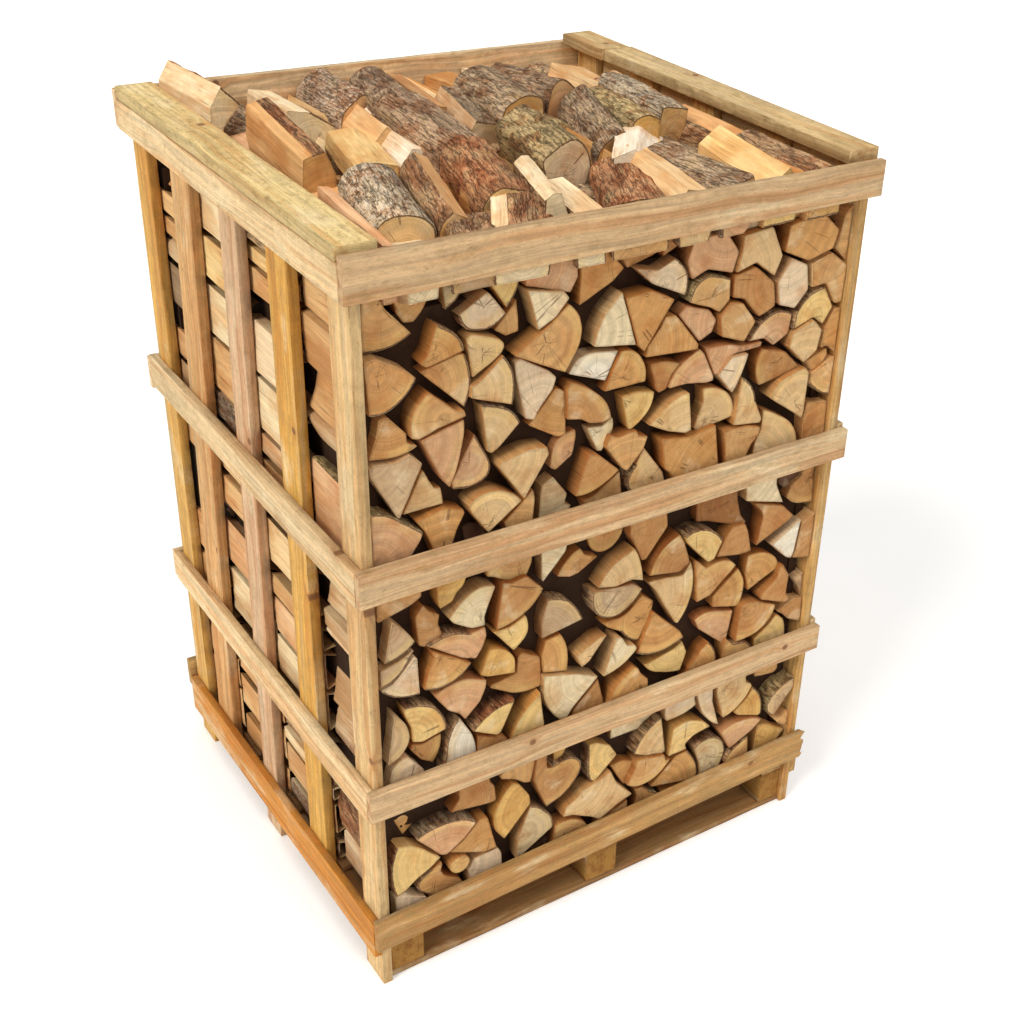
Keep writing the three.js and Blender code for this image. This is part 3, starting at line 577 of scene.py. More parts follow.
# Logs: the stack's limits, and the shape of one log
STACK_X = 536.4
STACK_FRONT, STACK_BACK = -507.7, 507.7
STACK_LOW, STACK_TOP = 133.2, 1572.0
ROW_DEEP = 253.925
GAP = 0.3
END_SLOT, SPLIT_SLOT, BARK_SLOT, DARK_SLOT = range(4)
LOG_MATERIALS = [END, SPLIT, BARK, DARK]
CHAMFER = 1.0
FADE_REACH = 12.0  # the relief of a log's sides grows over this length from its sawn end


def row_span(row):
    front = STACK_FRONT + (row - 1) * ROW_DEEP
    return front, front + ROW_DEEP - GAP


def find_bark(points):
    """Edges on the round outer side of a log: a run of gentle, convex corners."""
    n = len(points)
    before, after = points - np.roll(points, 1, 0), np.roll(points, -1, 0) - points
    cross = before[:, 0] * after[:, 1] - before[:, 1] * after[:, 0]
    turn = np.degrees(np.arctan2(cross, (before * after).sum(1)))
    soft = (turn > 4) & (turn < 50)
    best, best_turn = [], 34.0
    for start in range(n):
        if soft[start] and not soft[start - 1]:
            run = []
            while soft[(start + len(run)) % n] and len(run) < n:
                run.append((start + len(run)) % n)
            total = float(turn[run].sum())
            if total > best_turn and len(run) > 1:
                best, best_turn = run, total
    if soft.all():
        best = list(range(n))
    edges = np.zeros(n, bool)
    for i in best:
        edges[i] = True
        edges[i - 1] = True
    return edges


def resample(points, bark, step, seed):
    """Even points round the outline, arcs smoothed, corners a little worn.

    Returns the points, bark flags per edge and the directions outwards."""
    out, flags, stiff = [], [], []
    n = len(points)
    for i in range(n):
        a, b = points[i], points[(i + 1) % n]
        pieces = max(1, int(round(float(np.linalg.norm(b - a)) / step)))
        for k in range(pieces):
            out.append(a + (b - a) * k / pieces)
            flags.append(bark[i])
            stiff.append(k == 0 and not (bark[i] and bark[i - 1]))
    out, flags, stiff = np.array(out), np.array(flags), np.array(stiff)
    soft = flags & np.roll(flags, 1) & ~stiff
    # ten passes round the bark's arcs, then one that wears the corners
    for weight in [0.6 * soft] * 10 + [0.28 * stiff]:
        middle = (np.roll(out, 1, 0) + np.roll(out, -1, 0)) / 2
        out = out + weight[:, None] * (middle - out)
    tangent = np.roll(out, -1, 0) - np.roll(out, 1, 0)
    tangent /= np.maximum(np.linalg.norm(tangent, axis=1), 1e-6)[:, None]
    normal = np.stack([tangent[:, 1], -tangent[:, 0]], 1)
    path = np.arange(len(out)) * step
    wobble = rough_noise(path / 26.0, seed * 1.7, seed, 3) * np.where(flags, 1.0, 0.8)
    return out + normal * (wobble - 0.6)[:, None], flags, normal


def pith_of(points, bark, outline_seed):
    """Centre of the rings: the centre of the round side, or a point beyond one corner."""
    arc = points[bark | np.roll(bark, 1)]
    if len(arc) >= 4:
        rows = np.column_stack([2 * arc, np.ones(len(arc))])
        solved, *_ = np.linalg.lstsq(rows, (arc ** 2).sum(1), rcond=None)
        centre = solved[:2]
        radius = math.sqrt(max(float(solved[2] + (centre ** 2).sum()), 1.0))
        if 35 < radius < 260:
            return centre
    rng = random.Random(outline_seed)
    corner = points[rng.randrange(len(points))]
    middle = points.mean(0)
    return middle + (corner - middle) * rng.uniform(1.1, 1.9)


def add_cap(builder, ring, indices, plane, sign, tone, seed, bark, pith, tilt, spacing):
    """One sawn end. ring: (p, 2) outline of the cap, whose points are already in the builder."""
    centre = ring.mean(0)
    low, high = ring.min(0), ring.max(0)
    rng = np.random.default_rng(int(seed * 1000))
    xs, zs = np.arange(low[0], high[0], spacing), np.arange(low[1], high[1], spacing * 0.87)
    grid = np.array([[x + (spacing / 2 if k % 2 else 0), z] for k, z in enumerate(zs) for x in xs])
    grid = grid + rng.uniform(-0.22, 0.22, grid.shape) * spacing
    grid = grid[inside(grid, ring)]
    stops = np.roll(ring, -1, 0)
    grid = grid[distance_to_segments(grid, ring, stops) > spacing * 0.42]
    coords = [Vector(p) for p in np.concatenate([ring, grid]).tolist()]
    border = [(i, (i + 1) % len(ring)) for i in range(len(ring))]
    verts, _, faces, origins, *_ = delaunay_2d_cdt(coords, border, [list(range(len(ring)))], 1, 1e-4)
    place = np.array([v[:] for v in verts])
    source = np.array([o[0] if o else len(ring) for o in origins])
    new = source >= len(ring)
    relief = rough_noise(place[:, 0] / 14.0, place[:, 1] / 14.0, int(seed * 77) % 9999, 2) * 0.55
    depth = plane + sign * (relief + (place - centre) @ np.array(tilt))
    start = builder.add_points(np.column_stack([place[:, 0], depth, place[:, 1]])[new])
    index = np.zeros(len(place), int)
    index[new] = start + np.arange(int(new.sum()))
    index[~new] = indices[source[~new]]
    triangles = np.array([f for f in faces if len(f) == 3])
    a, b, c = place[triangles[:, 0]], place[triangles[:, 1]], place[triangles[:, 2]]
    turn = (b[:, 0] - a[:, 0]) * (c[:, 1] - a[:, 1]) - (b[:, 1] - a[:, 1]) * (c[:, 0] - a[:, 0])
    wrong = turn * sign > 0
    triangles[wrong] = triangles[wrong][:, ::-1]
    bark_gap = distance_to_segments(place, ring[bark], stops[bark])
    edge_gap = distance_to_segments(place, ring, stops)
    grain = np.column_stack([place - pith, np.full(len(place), plane)])
    builder.add_faces(index[triangles], END_SLOT, tone, grain[triangles], seed, bark_gap[triangles],
                      edge_gap[triangles])


def add_log(builder, outline, y0, y1, letter, bark_letter, depths, bark=None, rimmed=True, dx=0.0, dz=0.0,
            step=6.0, caps="front", relief=1.0, bow=0.0, pale=0.35, shade=WHITE, shaded=None, cap_spacing=9.0,
            tilt_size=0.05):
    """A split log from y0 to y1, whose rear end is moved by dx and dz.

    depths: where its outlines lie, from y0 on; bark: flags per outline edge; rimmed: bark is drawn;
    shaded: the face of the stack that its end is in, where its sides lie in the dark."""
    points = np.array(outline, float)
    if signed_area(points) < 0:
        points = points[::-1]
        bark = None if bark is None else np.roll(np.array(bark)[::-1], -1)
    seed = RNG.uniform(1.0, 90.0)
    bark = find_bark(points) if bark is None else np.array(bark, bool)
    pith = pith_of(points, bark, int(seed * 50))
    ring, flags, normal = resample(points, bark, step, int(seed * 31))
    count = len(ring)
    deep = y1 - y0
    depths = np.unique(np.clip(depths, 0, deep))
    path = np.concatenate([[0], np.cumsum(np.linalg.norm(np.diff(ring, axis=0), axis=1))])
    total = path[-1] + float(np.linalg.norm(ring[0] - ring[-1]))
    s, t = np.meshgrid(path, depths)
    whole = int(seed * 13)
    fibres = rough_noise(s / 7.0, t / 60.0, whole, 3) + rough_noise(s / 30.0, t / 130.0, whole + 5, 2) * 1.8
    ridges = 1.0 - 2.2 * np.abs(rough_noise(s / 13.0, t / 48.0, whole + 9, 3))
    plates = ridges * 1.5 + rough_noise(s / 40.0, t / 60.0, whole + 3, 2) * 2.2
    push = np.where(flags[None, :], plates, fibres) * relief
    front_cap, back_cap = "front" in caps, "back" in caps
    fade = np.clip(t / FADE_REACH, 0, 1) * (np.clip((deep - t) / FADE_REACH, 0, 1) if back_cap else 1)
    push = push * (0.25 + 0.75 * fade) - 0.8 * relief
    arch = 4 * (t / deep) * (1 - t / deep) * bow
    x = ring[None, :, 0] + normal[None, :, 0] * push + dx * t / deep
    z = ring[None, :, 1] + normal[None, :, 1] * push + dz * t / deep + arch
    tilt = (RNG.uniform(-tilt_size, tilt_size), RNG.uniform(-tilt_size, tilt_size))
    layers = [np.stack([x, y0 + t, z], 2)]
    # ends follow their tilt, with a small worn chamfer
    lean = (ring - ring.mean(0)) @ np.array(tilt)
    inner = ring - normal * (CHAMFER + 0.8 * relief)
    if front_cap:
        layers[0][0, :, 1] += CHAMFER - lean
        layers.insert(0, np.stack([inner[:, 0], y0 - lean, inner[:, 1]], 1)[None])
    if back_cap:
        layers[-1][-1, :, 1] += -CHAMFER + lean
        moved = inner + np.array([dx, dz])
        layers.append(np.stack([moved[:, 0], y1 + lean, moved[:, 1]], 1)[None])
    grid = np.concatenate(layers)
    rows = len(grid)
    start = builder.add_points(grid)
    r, j = np.meshgrid(np.arange(rows - 1), np.arange(count), indexing="ij")
    after = (j + 1) % count
    quads = np.stack([r * count + j, (r + 1) * count + j, (r + 1) * count + after, r * count + after], 2)
    quads = start + quads.reshape(-1, 4)
    path_next = np.concatenate([path[1:], [total]])
    ys = grid[:, :, 1].mean(1)
    corners = ((path[j], ys[r]), (path[j], ys[r + 1]), (path_next[j], ys[r + 1]), (path_next[j], ys[r]))
    grain = np.stack([np.stack([along, y, 0 * r], -1) for along, y in corners], 2).reshape(-1, 4, 3)
    is_bark = flags[j].reshape(-1) & rimmed
    side = log_tone(letter, pale)
    # painted shade on the sides seen between the ends, painted light on the logs on the top
    side[:3] *= shade
    rind = bark_tone(bark_letter)
    # the bark of logs not in a face of the stack takes the side shade too: painted light on the top logs' bark
    if shaded is None:
        rind[:3] *= shade
    # how deep each corner lies in the stack: little light reaches it there
    at = grain[:, :, 1]
    sunk = {"front": at - y0, "back": y1 - at, None: 0 * at}[shaded]
    builder.add_faces(quads[~is_bark], SPLIT_SLOT, side, grain[~is_bark], seed, edge_gap=sunk[~is_bark])
    if is_bark.any():
        builder.add_faces(quads[is_bark], BARK_SLOT, rind, grain[is_bark], seed, edge_gap=sunk[is_bark])
    tone = log_tone(letter)
    # painted shade on the ends in the faces of the stack
    tone[:3] *= END_SHADE if shaded else 1.0
    tone[3] = 0.0 if rimmed else 1.0
    front_end, back_end = (0, y0, -1, pith), (rows - 1, y1, 1, pith + (dx, dz))
    for is_cut, (layer, plane, sign, middle) in ((front_cap, front_end), (back_cap, back_end)):
        if is_cut:
            indices = start + layer * count + np.arange(count)
            cut = grid[layer][:, [0, 2]]
            add_cap(builder, cut, indices, plane, sign, tone, seed, flags, middle, tilt, cap_spacing)


def add_core(builder, x0, x1, y0, y1):
    """Painted shade: a dark box for the unlit wood deep between the logs."""
    corners = np.array([[x, y, z] for x in (x0, x1) for y in (y0, y1) for z in (STACK_LOW + 1, CORE_TOP)])
    start = builder.add_points(corners)
    sides = np.array([[0, 1, 3, 2], [4, 6, 7, 5], [0, 4, 5, 1], [2, 3, 7, 6], [0, 2, 6, 4], [1, 5, 7, 3]])
    builder.add_faces(start + sides, DARK_SLOT, (0.02, 0.01, 0.005, 0), corners[sides], 1.0)


# Log ends seen from the front, read off the photograph: tone, setback, then corners "x,z"
ENDS = """
d 25 -537,1570 -505,1560 -494,1534 -446,1481 -463,1468 -514,1458 -537,1463
d 35 -484,1570 -395,1570 -427,1516 -443,1499 -463,1501 -476,1522
q 30 -392,1565 -344,1565 -349,1532 -364,1517 -385,1507
h 0 -401,1488 -358,1461 -349,1443 -348,1428 -421,1411 -434,1420 -420,1437
d 12 -437,1408 -359,1427 -347,1422 -334,1372 -338,1341 -350,1320
o 6 -537,1448 -514,1450 -455,1415 -440,1399 -444,1386 -466,1363 -497,1344 -521,1340 -531,1347
f 15 -361,1495 -302,1527 -264,1478 -295,1453 -347,1461 -361,1478
b 20 -304,1545 -280,1570 -236,1570 -238,1530 -248,1508 -266,1487
d 20 -292,1453 -246,1503 -240,1440 -268,1436
n 8 -347,1450 -336,1457 -269,1434 -264,1424 -271,1407 -333,1372
n 4 -336,1357 -319,1362 -271,1403 -250,1370 -246,1341 -252,1301 -337,1334
a 0 -225,1513 -150,1497 -137,1482 -165,1450 -201,1431
e 10 -232,1565 -122,1565 -120,1518 -136,1490 -231,1521
d 4 -252,1396 -185,1434 -137,1471 -118,1455 -105,1425 -108,1389 -142,1338
h 8 -119,1562 -60,1556 -21,1515 -45,1494 -118,1461
g 30 -50,1565 45,1565 47,1530 -18,1513
f 8 -1,1511 52,1498 92,1515 120,1490 128,1458 119,1434 40,1472
a 0 -23,1471 13,1358 -83,1375 -77,1403 -61,1434
h 2 -17,1457 41,1460 96,1433 31,1340 15,1358
h 4 77,1402 101,1401 160,1329 157,1318 36,1326 39,1349 67,1382
l 14 -106,1370 -26,1357 -53,1300 -137,1334 -126,1357
e 8 105,1399 125,1414 180,1395 200,1370 190,1345 160,1332
o 10 -514,1339 -498,1340 -462,1300 -462,1282 -441,1270 -457,1260 -484,1256 -537,1265 -521,1305
d 4 -419,1368 -364,1318 -350,1318 -346,1303 -402,1292 -438,1279 -454,1284 -458,1305 -455,1325 -443,1351
j 3 -537,1249 -524,1254 -484,1249 -457,1257 -432,1232 -481,1136 -486,1137 -535,1233
n 14 -434,1222 -412,1178 -399,1177 -394,1140 -476,1140
e 6 -437,1278 -350,1299 -345,1286 -366,1198 -381,1168 -400,1195
e 12 -331,1266 -293,1195 -295,1175 -307,1161 -343,1155 -374,1162 -378,1178
n 10 -318,1318 -290,1313 -259,1297 -240,1279 -234,1262 -278,1224 -295,1215 -305,1221
f 5 -249,1382 -238,1390 -175,1350 -160,1335 -168,1312 -200,1275 -207,1260 -226,1266 -247,1355
h 18 -163,1315 -142,1304 -136,1211 -155,1210 -220,1252
n 0 -276,1193 -212,1203 -176,1197 -171,1180 -225,1099 -281,1182
e 3 -537,1160 -527,1164 -505,1153 -436,1096 -441,1080 -486,1011 -537,1011
h 7 -452,1120 -393,1132 -352,1117 -349,1108 -368,1074 -388,1011 -403,1011 -433,1093
n 2 -345,1121 -338,1133 -307,1141 -278,1139 -238,1112 -228,1098 -302,1050 -338,1103
k 35 -360,1080 -345,1088 -318,1080 -306,1052 -330,1011 -345,1011
d 6 -270,1062 -206,1117 -201,1098 -209,1011 -247,1011
q 12 -190,1119 -164,1133 -129,1084 -134,1064 -118,1056 -145,1011 -197,1011
o 8 -138,1306 -128,1317 -105,1308 -52,1267 -40,1246 -35,1221 -54,1215 -85,1220 -104,1234 -136,1241
e 24 -160,1209 -133,1221 -115,1218 -113,1203 -121,1165 -158,1142 -171,1150 -170,1184
o 0 -83,1158 -59,1148 -11,1103 -42,1081 -78,1067 -102,1064 -112,1070
a 20 -92,1215 -56,1210 -32,1222 -24,1213 -25,1197 -55,1155 -67,1158
h 5 -23,1356 1,1358 29,1334 43,1296 40,1277 -55,1278
b 12 -15,1259 20,1262 62,1253 64,1238 53,1214 36,1196 8,1181 2,1188
o 14 48,1310 62,1316 98,1308 122,1297 101,1277 90,1250 72,1245 65,1252
e 7 144,1313 165,1318 177,1305 203,1252 203,1241 185,1240 139,1249 99,1248 92,1252 102,1276
n 2 53,1180 105,1220 136,1234 149,1229 158,1145 144,1141 101,1155
d 9 -45,1158 -35,1184 -15,1175 8,1180 27,1178 30,1166 53,1160 44,1133 8,1093 -3,1100
n 6 28,1103 44,1138 96,1068 112,1011 60,1011 3,1054 1,1064 13,1091
h 3 86,1143 160,1130 222,1140 243,1011 140,1011 113,1060 98,1072
d 10 -9,1100 -2,1052 -8,1011 -73,1011 -95,1057 -66,1064
e 8 176,1316 235,1312 270,1300 322,1298 318,1287 250,1286 215,1250 203,1254
f 5 246,1283 288,1281 287,1268 261,1203 255,1200 214,1249
n 11 178,1231 199,1232 223,1222 254,1200 262,1177 264,1150 172,1136 163,1147 182,1198
n 3 277,1231 296,1222 318,1186 320,1168 342,1122 337,1113 264,1126
g 9 306,1262 320,1284 385,1263 430,1218 323,1200 309,1218
n 2 354,1166 370,1196 399,1208 444,1215 456,1200 456,1110 452,1094
h 14 441,1228 497,1246 501,1230 485,1208 471,1198 460,1203
d 6 460,1196 515,1222 537,1222 537,1131 515,1131 496,1139 459,1172
n 7 342,1143 356,1139 420,1100 444,1062 449,1011 320,1011 327,1072 342,1100
d 4 240,1121 305,1118 339,1106 338,1088 318,1067 294,1011 256,1011 249,1086
o 10 461,1129 520,1120 537,1110 537,1011 458,1011 456,1090
d 5 205,1375 215,1330 275,1306 300,1345 262,1392 230,1400
e 9 305,1342 280,1306 325,1303 350,1282 388,1300 392,1345 350,1362
n 3 392,1268 438,1224 470,1246 478,1290 452,1318 398,1300
h 12 483,1288 478,1248 500,1250 537,1228 537,1330 505,1330
b 7 398,1348 396,1306 450,1322 478,1300 500,1335 470,1385 430,1380
d 4 128,1418 185,1395 205,1382 228,1405 225,1450 170,1470 140,1455
o 8 232,1452 234,1406 264,1398 305,1352 345,1368 335,1420 285,1462
f 3 342,1418 352,1368 395,1352 428,1386 418,1440 375,1462
d 9 425,1440 434,1388 472,1390 505,1340 537,1340 537,1420 480,1455
e 5 133,1462 168,1476 228,1458 240,1500 205,1545 130,1540 118,1500
n 2 236,1456 285,1468 335,1430 352,1470 320,1535 246,1530 246,1500
h 6 355,1475 420,1446 480,1461 490,1500 440,1545 360,1530
d 10 485,1460 537,1428 537,1545 500,1530
g 20 60,1572 120,1572 124,1548 60,1520
a 14 215,1572 345,1572 325,1541 246,1538 208,1552
d 16 352,1572 485,1572 482,1530 440,1550 358,1540
o 22 -534,1004 -445,1004 -442,957 -463,945 -534,928
j 3 -525,834 -504,833 -480,840 -456,860 -474,890 -505,926
j 6 -534,822 -504,826 -460,843 -477,811 -495,792 -514,783 -534,781
f 9 -462,828 -455,825 -451,735 -483,736 -512,749 -532,768 -530,776 -509,780
g 12 -458,916 -440,938 -428,920 -406,906 -410,885 -401,858 -440,841 -453,849
c 8 -414,1004 -340,1004 -350,955 -357,945 -369,941 -378,922 -405,913 -410,925
a 0 -389,888 -369,911 -338,933 -312,941 -285,927 -310,864 -307,843 -338,847 -378,873
e 4 -436,841 -397,853 -372,853 -340,838 -307,841 -305,820 -316,792 -330,773 -359,785
h 2 -427,829 -338,769 -343,759 -369,739 -402,730 -431,730 -443,740 -436,775 -421,808
d 13 -310,1004 -202,1004 -206,955 -217,929 -250,925 -274,935 -290,948 -306,953
o 5 -272,932 -252,924 -217,928 -176,884 -178,875 -202,847 -254,823 -285,823
b 8 -293,822 -254,820 -217,836 -206,809 -214,783 -245,760
c 3 -300,785 -277,785 -245,756 -238,740 -239,703 -304,718 -321,728
a 15 -186,1004 -120,1004 -128,955 -180,899 -184,905
o 16 -149,902 -140,922 -110,953 -95,953 -84,934 -50,917 -97,892 -118,890
o 34 -85,1004 8,1004 6,950 -23,924 -44,920 -64,929 -79,950
o 18 18,1004 112,1004 120,934 67,871 55,873 22,945
n 0 -49,840 -30,868 -9,887 39,908 50,889 65,835 63,822 36,833 -4,828
j 4 -62,836 41,822 67,800 62,788 42,769 12,751 -14,752 -40,764 -59,785 -65,810
h 9 65,786 96,760 92,727 60,672 52,671 36,680 12,712 -21,734 -38,752 12,749 30,755
g 2 79,826 96,871 124,895 153,906 165,886 184,826 158,811
b 1 163,894 187,903 215,902 254,878 270,854 251,812 234,808 175,873
i 16 187,1004 297,1004 297,950 309,906 327,882 308,878 220,915 191,921
o 6 254,816 269,850 292,880 327,879 338,857 352,801 318,801
a 10 315,1004 402,1004 404,950 430,897 321,932
o 3 342,922 428,893 461,860 458,852 363,809 374,880 368,895
g 20 433,911 446,940 472,952 478,1004 507,1004 507,952 519,888 513,877 458,885 440,897
k 26 405,1004 470,1004 465,952 445,940 425,935 408,950
l 2 407,798 487,840 479,757 473,741 456,749
g 7 489,826 528,847 534,835 534,728 475,741 481,757
h 12 342,792 373,793 403,781 427,764 440,746 437,731 352,697 339,749
d 5 197,822 204,824 230,798 246,806 284,803 301,795 316,776 248,719 211,714
h 10 318,770 339,740 344,715 336,664 323,664 257,686 252,718
o 1 390,672 436,704 440,730 452,733 473,700 470,651 484,632 470,624 394,658
o 4 337,661 356,665 389,656 445,628 439,598 399,570 339,563 330,568
j 14 484,686 534,694 534,627 505,655
g 8 449,606 494,627 534,620 534,553 483,575 472,590
b 11 385,556 428,583 446,602 470,588 480,566 485,505 395,505
e 15 207,671 220,683 254,680 318,658 304,572 297,573 222,641
d 6 301,563 308,583 327,563 366,560 385,543 385,505 301,505
h 3 203,545 225,565 235,583 256,596 270,586 281,560 284,505 200,505
b 9 76,606 89,599 160,616 180,628 195,594 182,546 165,546 96,573
h 5 97,733 172,656 184,635 155,622 120,616 71,625 60,636
n 7 76,812 124,809 167,800 186,830 194,815 199,770 196,739 178,693 163,677 155,682 100,781
a 0 5,702 20,696 34,670 52,668 60,653 55,643 29,622 1,608 -24,607
n 6 -96,690 -37,718 -18,716 -61,663 -80,654
h 13 -171,757 -135,762 -123,744 -114,715 -116,661 -175,677 -180,720
o 18 -236,742 -225,750 -182,722 -176,648 -212,645 -245,653 -300,690 -297,697 -238,703
a 4 -173,670 -99,649 -37,618 -99,556 -115,530 -137,540 -168,598 -174,632
g 10 -38,612 -20,545 -18,505 -105,505 -97,552
h 1 -6,545 3,566 27,589 55,606 67,598 77,577 96,558 100,505 -6,505
l 5 -403,545 -393,613 -368,646 -338,591 -330,561 -325,505 -403,505
e 8 -425,723 -365,738 -345,735 -305,714 -307,694 -319,665 -354,632 -364,649 -393,671
b 2 -488,716 -471,719 -426,700 -412,687 -394,646 -395,630 -450,618 -472,626 -473,661 -487,697
j 6 -526,588 -493,601 -475,627 -475,661 -488,689 -508,710
g 11 -479,611 -472,622 -450,615 -409,625 -404,615 -416,570 -428,555 -455,575
f 7 -526,545 -514,588 -497,596 -480,595 -448,549 -440,505 -526,505
b 0 -339,596 -307,627 -271,638 -238,638 -271,568 -281,562
o 9 -328,545 -326,580 -283,560 -271,561 -255,543 -252,505 -322,505
b 3 -250,545 -226,592 -180,634 -167,545 -167,505 -250,505
j 12 -180,762 -181,800 -168,857 -154,857 -116,838 -102,823 -81,778
h 38 -522,498 -455,498 -457,449 -466,428 -502,401 -521,448
e 1 -472,372 -450,383 -412,387 -354,377 -328,354 -358,322 -402,296 -417,303
h 8 -324,356 -303,354 -281,258 -312,257 -396,297 -358,321
b 4 -515,372 -483,361 -454,339 -415,297 -438,280 -478,261 -497,246 -521,239 -531,266 -531,325
f 9 -523,234 -500,243 -488,223 -450,203 -446,134 -523,134
o 6 -479,244 -473,260 -438,273 -415,288 -411,275 -416,259 -407,242 -374,219 -363,200 -360,134 -441,134 -444,204 -473,225
d 2 -402,256 -395,273 -380,279 -359,278 -345,270 -341,254 -346,237 -359,227 -374,224 -390,232
f 11 -338,252 -277,254 -268,235 -266,134 -350,134 -349,206 -354,228 -344,236
c 5 -243,421 -226,408 -201,367 -198,342 -262,269 -288,304 -292,328 -287,361 -259,411
g 10 -375,498 -300,498 -296,445 -286,432 -281,389 -295,387 -392,407 -371,437
d 14 -275,498 -186,498 -188,445 -198,399 -214,404 -235,423 -273,441
g 3 -184,498 -161,498 -157,421 -146,419 -126,429 -106,431 -87,424 -73,411 -67,392 -69,379 -95,339 -118,320 -158,309 -191,400
c 18 -147,498 -105,498 -112,445 -125,430 -143,421
b 7 -54,438 -33,437 3,415 23,380 -37,323 -48,328 -54,344
n 2 -116,262 -109,289 -75,304 -67,316 -18,325 10,338 29,294 75,240 34,228 -15,206 -37,225 -90,256
d 12 -15,204 60,232 60,134 -20,134
d 5 -135,246 -116,253 -90,248 -66,235 -49,218 -42,199 -40,134 -135,134
q 8 -199,335 -181,328 -140,282 -137,246 -220,200 -234,197 -231,251
k 40 -225,196 -143,236 -143,134 -225,134
n 4 140,436 160,328 155,323 103,338 66,360 86,401 110,423
d 1 79,337 158,320 162,300 176,299 158,277 132,258 98,252 72,256 56,273 77,318
h 13 5,354 36,357 75,339 53,280 44,283
a 28 0,498 118,498 122,441 105,425 2,429
f 9 147,498 230,498 233,441 238,429 222,420 175,413 153,416 147,436
f 6 236,498 283,498 285,420 308,343 297,344 256,392 237,440
b 3 175,386 189,393 215,396 263,375 285,346 237,339 215,323 222,307 168,306
h 7 122,242 190,303 222,305 237,287 258,242 260,201 125,236
d 11 78,250 101,250 122,227 148,217 154,200 154,134 80,134 85,232
d 15 160,205 232,203 262,196 272,134 160,134
q 5 242,300 258,313 289,316 322,299 339,270 334,228 326,217 330,134 276,134 262,242
e 2 318,313 327,321 356,328 418,322 442,304 418,282 351,250
n 8 293,498 375,498 380,436 394,430 400,418 382,387 339,357 318,356 294,436
c 4 401,417 430,385 442,337 437,321 427,319 363,346 349,361 380,382 397,402
j 0 447,328 454,354 468,370 501,388 534,392 534,362 482,301 472,298 454,311
d 26 400,498 470,498 473,440 462,430 402,440
k 42 482,498 534,498 534,402 485,445
d 6 491,274 534,294 534,246 498,263
h 24 512,325 534,343 534,302 505,312
c 9 430,286 444,290 466,282 482,265 523,238 500,217 496,134 424,134
d 5 339,232 351,244 405,270 411,213 411,134 338,134 345,205 335,220
"""
